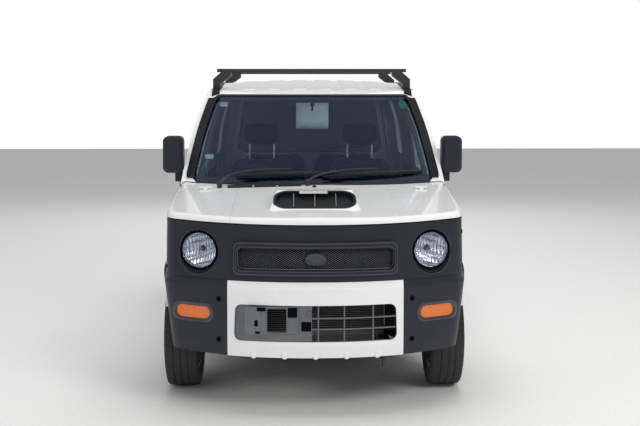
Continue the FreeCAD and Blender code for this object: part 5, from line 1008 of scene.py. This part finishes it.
def window_corners(which):
    """Corners (station, height, radius) of a side window's opening."""
    start = DOOR_FRONT + 0.070 / WINDOW_LEAN + 0.078
    front = [(start, WINDOW_LOW, 0.015), (start + 0.415 / WINDOW_LEAN, WINDOW_HIGH, 0.025),
             (B_PILLAR - 0.082, WINDOW_HIGH, 0.025), (B_PILLAR - 0.082, WINDOW_LOW, 0.025)]
    rear = [(B_PILLAR + 0.084, WINDOW_LOW, 0.025), (B_PILLAR + 0.084, WINDOW_HIGH, 0.025),
            (C_PILLAR - 0.055, WINDOW_HIGH, 0.025), (C_PILLAR - 0.055, WINDOW_LOW, 0.025)]
    quarter = [(C_PILLAR + 0.072, 1.025, 0.035), (C_PILLAR + 0.072, 1.416, 0.035), (3.100, 1.416, 0.035),
               (3.162, 1.025, 0.035)]
    return {"front": front, "rear": rear, "quarter": quarter}[which]


def grown(outline, by):
    """Outline pushed outwards by a distance, square to itself."""
    tangent = np.roll(outline, -1, 0) - np.roll(outline, 1, 0)
    tangent /= np.linalg.norm(tangent, axis=1, keepdims=True)
    area = np.sum(outline[:, 0] * np.roll(outline[:, 1], -1) - outline[:, 1] * np.roll(outline[:, 0], -1))
    return outline + np.sign(area) * by * np.stack([tangent[:, 1], -tangent[:, 0]], 1)


def rubber(line, section, surface):
    """Band along an outline on a surface: its section is (outwards from the outline, out of the surface)."""
    return loops_part([(grown(line, by), out) for by, out in section], surface)


def make_window_rubbers():
    """Rubber round every side and rear window: a flat lip outside and a wall down to the glass."""
    for side, sign in SIDES:
        surface = side_surface(sign)
        for which in ("front", "rear", "quarter"):
            line = rounded_outline(window_corners(which), 8, 14)
            body = "body" if which == "quarter" else f"door_{which}_{side}"
            joined(f"window_rubber_{which}_{side}", [rubber(line, SIDE_RUBBER, surface)], body, black_rubber,
                   sharp=40)
    half = [(0.540, 1.015, 0.045), (0.478, 1.412, 0.055)]
    line = rounded_outline(half + [(-x, z, r) for x, z, r in half[::-1]], 8, 30)
    joined("window_rubber_tailgate", [rubber(line, REAR_RUBBER, tail_surface)], "tailgate", black_rubber,
           sharp=40)


def make_rear_details():
    """Tailgate handle with plate lamps, rear wiper, fuel flap and exhaust tip."""
    bar = rectangle(-0.240, 0.240, 0.842, 0.886, 0.012)
    joined("tailgate_garnish", [plate_part(bar, tail_surface, -0.002, 0.016, 0.004)], "tailgate",
           grained_plastic, sharp=50)
    lamps = []
    for x in (-0.13, 0.13):
        lamp = rectangle(x - 0.030, x + 0.030, 0.838, 0.843, 0.003, 0.002)
        lamps.append(plate_part(lamp, tail_surface, 0.002, 0.014, 0.001))
    joined("plate_lamps", lamps, "tailgate", lamp_glass)
    pivot = tail_surface(0.0, 0.972, -0.001)
    knob = ((0.0, 0.0), (0.0, 0.018), (0.010, 0.018), (0.018, 0.013), (0.020, 0.0))
    arms = [turned(knob, pivot, (0, 1, 0), 24, closed=False)]
    path = smooth_path([tail_surface(0.0, 0.972, 0.012), tail_surface(0.05, 1.010, 0.020),
                        tail_surface(0.24, 1.052, 0.006)])
    arms.append(tube(path, np.linspace(0.0080, 0.0045, len(path)), 10, up=(0, 1, 0)))
    x = np.linspace(0.055, 0.400, 30)
    bow = -0.0010 + 0.004 * np.sin(np.linspace(0, np.pi, 30))
    arms.append(tube(tail_surface(x, 1.052, bow), 0.0045, 8, up=(0, 1, 0)))
    joined("rear_wiper", arms, "tailgate", black_plastic, sharp=45)
    surface = side_surface(1.0)
    flap = rectangle(3.010, 3.130, 0.780, 0.900, 0.018)
    line = rounded_outline(flap, 8, 8)
    gap = ((0.0035, -0.0004), (0.0035, 0.0003), (0.0, 0.0003), (0.0, -0.0004))
    joined("fuel_flap_gap", [rubber(line, gap, surface)], "body", black_rubber)
    joined("fuel_flap", [plate_part(flap, surface, -0.0004, 0.0009, 0.0006, 8, 8)], "body", white_paint)
    tip = ((0.0, 0.0185), (0.0, 0.0230), (0.090, 0.0230), (0.0905, 0.0220), (0.0905, 0.0200), (0.030, 0.0195))
    start = np.array([0.200, along(3.290), 0.2605])
    end = np.array([0.200, along(3.375), 0.2030])
    joined("exhaust_tip", [turned(tip, start, end - start, 32)], "body", bright_steel, sharp=40)


def make_mirror_glass():
    """Mirror glass in the back of each door mirror's shell."""
    for side, sign in SIDES:
        def back(x, z, out):
            return placed(sign * x, 1.1722 + out, z)
        corners = rectangle(0.7185, 0.8075, 1.0445, 1.2235, 0.020)
        joined(f"mirror_glass_{side}", [plate_part(corners, back, -0.001, 0.0018, 0.001)],
               f"door_front_{side}", mirror_chrome)


def inflate(piece, voxel, cap):
    """Blows a closed pad up as cloth with air inside it, and limits how far each point went."""
    scene = bpy.context.scene
    remesh = piece.modifiers.new("remesh", "REMESH")
    remesh.mode = "VOXEL"
    remesh.voxel_size = voxel
    graph = bpy.context.evaluated_depsgraph_get()
    mesh = bpy.data.meshes.new_from_object(piece.evaluated_get(graph))
    piece.modifiers.clear()
    piece.data = mesh
    start = corners_of(mesh)
    cloth = piece.modifiers.new("cloth", "CLOTH")
    cloth.settings.use_pressure = True
    cloth.settings.uniform_pressure_force = 4.0
    cloth.settings.effector_weights.gravity = 0.0
    cloth.settings.quality = 4
    cloth.point_cache.frame_start = 1
    cloth.point_cache.frame_end = 20
    for frame_number in range(1, 21):
        scene.frame_set(frame_number)
    graph = bpy.context.evaluated_depsgraph_get()
    swollen = bpy.data.meshes.new_from_object(piece.evaluated_get(graph))
    piece.modifiers.clear()
    scene.frame_set(1)
    moved = corners_of(swollen) - start
    length = np.linalg.norm(moved, axis=1, keepdims=True)
    moved *= np.minimum(1.0, cap / np.maximum(length, 1e-9))
    swollen.vertices.foreach_set("co", (start + moved).ravel())
    piece.data = swollen


def pad(name, size, squareness, crown, channels=(), rows=(), cap=0.022):
    """A cushion at the origin: a rounded box |x|^n + |y|^n + |z|^n = 1, blown up as cloth, then sewn.

    The box is stretched to its size less what the pressure adds. Sewn channels press narrow valleys into it
    across the width (channels, by y) and along it (rows, by x): depth * exp(-(distance / 7 mm)^2)."""
    u, v = np.meshgrid(np.linspace(-np.pi / 2, np.pi / 2, 49), circle(96), indexing="ij")

    def power(value):
        return np.sign(value) * np.abs(value) ** (2.0 / squareness)

    x, y, z = power(np.cos(u)) * power(np.cos(v)), power(np.cos(u)) * power(np.sin(v)), power(np.sin(u))
    swell = 1.0 + crown * (1 - x ** 2) * (1 - y ** 2)
    less = 1.4 * cap
    half = (np.asarray(size) - less) / 2
    shape = np.stack([x * half[0], y * half[1], z * half[2] * swell], -1)
    piece = joined(name, [grid_part(shape, wrap_columns=True)], None, seat_cloth)
    inflate(piece, 0.006, cap)
    mesh = piece.data
    points = corners_of(mesh)
    limit = np.asarray(size) / 2
    points = np.clip(points, -limit, limit)
    level = np.sign(points[:, 2]) * np.minimum(np.abs(points[:, 2]) / (0.3 * size[2]), 1.0)
    for place, depth in channels:
        points[:, 2] -= level * depth * np.exp(-((points[:, 1] - place * size[1]) / 0.007) ** 2)
    for place, depth in rows:
        points[:, 2] -= level * depth * np.exp(-((points[:, 0] - place * size[0]) / 0.007) ** 2)
    mesh.vertices.foreach_set("co", points.ravel())
    mesh.materials.clear()
    mesh.materials.append(seat_cloth)
    mesh.shade_smooth()
    return piece


def seat_piece(piece, place, tilt, copy_side=None):
    mesh = piece.data
    points = tilted(corners_of(mesh), tilt) + (place[0], along(place[1]), place[2])
    mesh.vertices.foreach_set("co", points.ravel())
    made = [piece]
    if copy_side:
        other = bpy.data.objects.new(copy_side, mesh.copy())
        bpy.context.collection.objects.link(other)
        other.data.vertices.foreach_set("co", (points * (-1, 1, 1)).ravel())
        other.data.flip_normals()
        made.append(other)
    for each in made:
        each.data.update()
        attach(each, "body")


def base_part(x0, x1, s0, s1, z0, z1, r):
    """Part of a plinth with rounded upright edges and an eased top."""
    corners = rectangle(x0, x1, s0, s1, r)
    return plate_part(corners, lambda x, s, z: placed(x, s, np.full_like(x, z)), z0, z1, 0.008)


def make_seats():
    """Front seats and rear bench: cloth pads on dark plinths, with bright headrest posts."""
    cushion = pad("seat_cushion_left", (0.470, 0.455, 0.150), 5.0, 0.10, ((-0.22, 0.007), (0.12, 0.007)),
                  ((-0.33, 0.006), (0.33, 0.006)))
    seat_piece(cushion, (SEAT_X, 1.728, 0.447), math.radians(-3.0), "seat_cushion_right")
    back = pad("seat_back_left", (0.460, 0.630, 0.120), 5.0, 0.10, ((-0.22, 0.007), (0.10, 0.007)),
               ((-0.33, 0.006), (0.33, 0.006)))
    seat_piece(back, (SEAT_X, 2.047, 0.768), math.radians(79.5), "seat_back_right")
    head = pad("headrest_left", (0.245, 0.155, 0.080), 4.0, 0.06, cap=0.012)
    seat_piece(head, (SEAT_X, 2.143, 1.198), math.radians(80.0), "headrest_right")
    bench = pad("rear_cushion_left", (0.493, 0.460, 0.122), 6.0, 0.08, ((-0.18, 0.007), (0.16, 0.007)))
    seat_piece(bench, (0.2485, 2.525, 0.487), math.radians(-3.0), "rear_cushion_right")
    rest = pad("rear_back_left", (0.493, 0.600, 0.100), 6.0, 0.08, ((-0.20, 0.007), (0.12, 0.007)))
    seat_piece(rest, (0.2485, 2.768, 0.765), math.radians(80.0), "rear_back_right")
    t = np.linspace(0, 1, 6)
    posts = []
    for sign in (1, -1):
        for offset in (-0.078, 0.078):
            x = sign * (SEAT_X + offset)
            posts.append(tube(placed(x, 2.108 + 0.022 * t, 1.03 + 0.13 * t), 0.0062, 10, up=(1, 0, 0)))
    joined("headrest_posts", posts, "body", bright_steel)
    plinths = [base_part(sign * SEAT_X - 0.19, sign * SEAT_X + 0.19, 1.560, 1.940, 0.2195, 0.384, 0.03)
               for sign in (1, -1)]
    front = joined("front_seat_bases", plinths, "body", cabin_plastic)
    stand = joined("rear_bench_base", [base_part(-0.47, 0.47, 2.330, 2.590, 0.2195, 0.432, 0.03)], "body",
                   cabin_plastic)
    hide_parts("front_seats")
    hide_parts("rear_seat")


def steering_place(points):
    """Moves points drawn about +Z onto the steering column's axis."""
    x, station, z = STEERING_CENTRE
    return tilted(points, -STEERING_TILT) + (x, along(station), z)


def make_steering_wheel():
    """Steering wheel: a padded ring, a domed boss and three tapering spokes."""
    a = circle(96)
    r = STEERING_RADIUS - 0.0145
    ring, faces = tube(np.stack([np.cos(a) * r, np.sin(a) * r, np.zeros(96)], 1), 0.0138, 14, closed=True)
    parts = [(steering_place(ring), faces)]
    for turn in (0.0, math.pi, -math.pi / 2):
        t = np.linspace(0.05, r - 0.004, 9)
        path = np.stack([np.cos(turn) * t, np.sin(turn) * t, -0.012 + 0.010 * (t / r) ** 2], 1)
        bar, faces = tube(path, 0.020 - 0.007 * (t / r), 12, flat=0.4)
        parts.append((steering_place(bar), faces))
    u, v = np.meshgrid(np.linspace(0, 1, 14), circle(64), indexing="ij")
    wide = 0.072 * np.where(u < 0.5, 1.0, np.sqrt(np.clip(1 - (2 * u - 1) ** 4, 0, 1)))
    boss = np.stack([np.cos(v) * wide * 1.15, np.sin(v) * wide * 0.85, -0.036 + 0.042 * u ** 0.7], -1)
    parts.append(grid_part(steering_place(boss), wrap_columns=True, caps=True))
    wheel = joined("steering_wheel_grip", parts, "steering_wheel", cabin_plastic, sharp=60)
    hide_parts("steering_wheel")


def make_dashboard_details():
    """Instrument hood, vents, centre panel with knobs, gear lever, the glovebox's lid and the pedals."""
    def face(x, z, out):
        return placed(x, 1.2155 - 0.125 * (0.930 - np.asarray(z)) + out, z)

    u, v = np.meshgrid(np.linspace(0, 1, 20), np.linspace(0, np.pi, 25), indexing="ij")
    x = -SEAT_X + 0.155 * np.cos(v) * (1 - 0.10 * (1 - u))
    rise = 0.052 * np.sin(v) ** 0.6 * np.sin(np.clip(u * 1.25, 0, 1) * np.pi / 2)
    s = 1.100 + 0.095 * u
    outer = placed(x, s, 0.972 + rise - 0.030 * u)
    inner = placed(-SEAT_X + 0.146 * np.cos(v), s, 0.9600 + 0.9 * rise - 0.030 * u)
    joined("instrument_hood", [slab(outer, inner)], "body", cabin_plastic, sharp=60)
    dark = [plate_part(rectangle(x - 0.045, x + 0.045, 0.862, 0.912, 0.008), face, -0.002, 0.006, 0.002)
            for x in (-0.530, 0.530, 0.065, -0.065)]
    dark.append(plate_part(rectangle(-0.105, 0.105, 0.742, 0.852, 0.010), face, -0.002, 0.005, 0.002))
    joined("dashboard_vents", dark, "body", black_plastic, sharp=50)
    knobs = [turned(((0.0, 0.0), (0.0, 0.019), (0.016, 0.017), (0.018, 0.014), (0.018, 0.0)),
                    face(np.array(x), np.array(0.765), 0.004), (0, 1, 0.1), 24, closed=False)
             for x in (-0.065, 0.0, 0.065)]
    joined("dashboard_knobs", knobs, "body", grey_steel, sharp=40)
    lid = plate_part(rectangle(0.200, 0.500, 0.745, 0.845, 0.020), face, -0.002, 0.007, 0.003)
    joined("glovebox_lid", [lid], "body", cabin_plastic, sharp=50)
    lever = smooth_path(placed(0.02, (1.205, 1.245, 1.290), (0.700, 0.735, 0.790)))
    knob = turned(((-0.012, 0.0), (-0.006, 0.014), (0.012, 0.019), (0.032, 0.016), (0.042, 0.0)), lever[-1],
                  (0, 0.6, 0.8), 24, closed=False)
    joined("gear_lever", [tube(lever, 0.0075, 10, up=(1, 0, 0)), knob], "body", cabin_plastic)

    def sole(x, z, out):
        return placed(x, 1.115 + 0.3 * (0.35 - z) + out, z)

    pads = []
    for x in (-0.36, -0.24):
        foot = rectangle(x - 0.032, x + 0.032, 0.300, 0.350, 0.006)
        pads.append(plate_part(foot, sole, -0.006, 0.006, 0.002))
        arm = smooth_path(placed(x, (1.115, 1.06, 0.990), (0.335, 0.45, 0.56)))
        pads.append(tube(arm, 0.006, 8, up=(1, 0, 0)))
    joined("pedals", pads, "body", black_steel)


def headliner_z(x, s):
    """Height of the roof's lining: the lower of the crowned roof and the slope behind the header."""
    x = np.abs(x)
    crowned = np.where(x < 0.331, 1.5422 - 0.0715 * x ** 2, 1.5343 - 0.0473 * (x - 0.331))
    sloped = 1.4676 + 0.105 * (s - 1.400)
    return np.minimum(crowned, sloped) - 0.027


def make_cabin_trim():
    """Lining under the roof, pillar trims, sun visors, inside mirror with a blank card, and carpet."""
    s, x = np.meshgrid(np.linspace(1.475, 3.150, 60), np.linspace(-0.500, 0.500, 41), indexing="ij")
    z = headliner_z(x, s)
    joined("headliner", [slab(placed(x, s, z), placed(x, s, z - 0.004))], "body", shaded_cabin_grey, sharp=50)
    pillars = []
    for sign in (1, -1):
        z = np.linspace(1.020, 1.420, 24)
        path = screen_surface(sign * (screen_half(z) - 0.034), z, -0.040)
        pillars.append(tube(path, 0.0165, 12, flat=0.8, up=(sign, 0, 0)))
    joined("pillar_trims", pillars, "body", shaded_cabin_grey)

    def under(x, s, out):
        return placed(x, s, headliner_z(x, s) - 0.020 + out)

    visors = []
    for x0 in (-0.300, 0.300):
        visor = rectangle(x0 - 0.190, x0 + 0.190, 1.480, 1.610, 0.020, 0.030)
        visors.append(plate_part(visor, under, -0.009, 0.009, 0.006))
    joined("sun_visors", visors, "body", shaded_cabin_grey)
    stem = smooth_path([screen_surface(0.0, 1.408, -0.0075), screen_surface(0.0, 1.398, -0.050),
                        (0.0, along(1.424), 1.378)])
    knob = turned(((0.0, 0.0), (0.0, 0.013), (0.008, 0.012), (0.009, 0.0)),
                  screen_surface(0.0, 1.408, -0.0076), (0, 0.648, -0.762), 24, closed=False)
    shell = [(0.000, 0.0), (0.003, 0.7), (0.012, 0.95), (0.022, 1.0), (0.026, 0.97), (0.026, 0.0)]
    outline = oval(64, 0.118, 0.029, 0.55, 0.7)
    rows = [placed(outline[:, 0] * share, 1.420 + depth, 1.374 + outline[:, 1] * share)
            for depth, share in shell]
    joined("inside_mirror", [tube(stem, 0.0055, 10, up=(1, 0, 0)), knob,
                             grid_part(np.stack(rows), wrap_columns=True)], "body", black_plastic, sharp=40)

    def hung(x, z, out):
        return placed(x, 1.398 + out, z)

    card = plate_part(rectangle(-0.092, 0.093, 1.262, 1.410, 0.006), hung, 0.0, 0.0012, 0.0004)
    joined("blank_card", [card], "body", blank_card)
    s, x = np.meshgrid(np.linspace(0.985, 2.300, 40), np.linspace(-0.585, 0.585, 40), indexing="ij")
    floor = placed(x, s, 0.2215 + 0.006 * np.exp(-((np.abs(x) - 0.585) / 0.03) ** 2))
    joined("cabin_carpet", [slab(floor, placed(x, s, np.full_like(x, 0.2192)))], "body", carpet)


def make_door_cards():
    """Inner door trims: a panel on the door's inner face with an armrest that swells out of it and a pull.

    The panel's depth at (station, height) is a base of 5 mm, plus the armrest's ridge, 38 mm *
    exp(-((height - 0.70) / 45 mm)^4) faded towards both ends, plus a low swell for the pocket."""
    for side, sign in SIDES:
        for which, s0, s1 in (("front", DOOR_FRONT + 0.045, B_PILLAR - 0.075),
                              ("rear", B_PILLAR + 0.075, 2.700)):
            u, v = np.meshgrid(np.linspace(0, 1, 48), np.linspace(0, 1, 44), indexing="ij")
            z = 0.300 + 0.665 * v
            end = s1
            if which == "rear":
                reach = np.sqrt(np.maximum(ARCH_RADIUS ** 2 - (z - AXLE_HEIGHT) ** 2, 0))
                end = np.where(z < AXLE_HEIGHT + ARCH_RADIUS, np.minimum(s1, REAR_AXLE - reach), s1)
            s = s0 + (end - s0) * u
            ends = np.clip(np.minimum(u, 1 - u) / 0.18, 0, 1)
            ends = ends * ends * (3 - 2 * ends)
            rest = 0.038 * np.exp(-((z - 0.700) / 0.045) ** 4) * ends
            pocket = 0.012 * np.exp(-((z - 0.400) / 0.080) ** 4) * ends
            x = side_x(z) - DOOR_INNER - 0.0015
            front = placed(sign * (x - 0.005 - rest - pocket), s, z)
            back = placed(sign * x, s, z)
            joined(f"door_card_{which}_{side}", [slab(front, back)], f"door_{which}_{side}", cabin_plastic,
                   sharp=50)
            s, z, out = np.array([(0.0, 0.0, 0.006), (0.012, 0.0, 0.020), (0.070, 0.0, 0.024),
                                  (0.105, -0.006, 0.022)]).T
            z = z + 0.845
            pull = placed(sign * (side_x(z) - DOOR_INNER - 0.004 - out), s0 + 0.30 * (s1 - s0) + s, z)
            joined(f"door_pull_{which}_{side}", [tube(smooth_path(pull), 0.007, 10)], f"door_{which}_{side}",
                   bright_steel)


make_camera()
make_stage()
make_tyres()
make_wheel_details()
make_upper_grille()
make_headlamps()
make_front_details()
make_scoop_details()
make_wipers()
make_windscreen_trim()
make_window_rubbers()
make_rear_details()
make_mirror_glass()
make_seats()
make_steering_wheel()
make_dashboard_details()
make_cabin_trim()
make_door_cards()
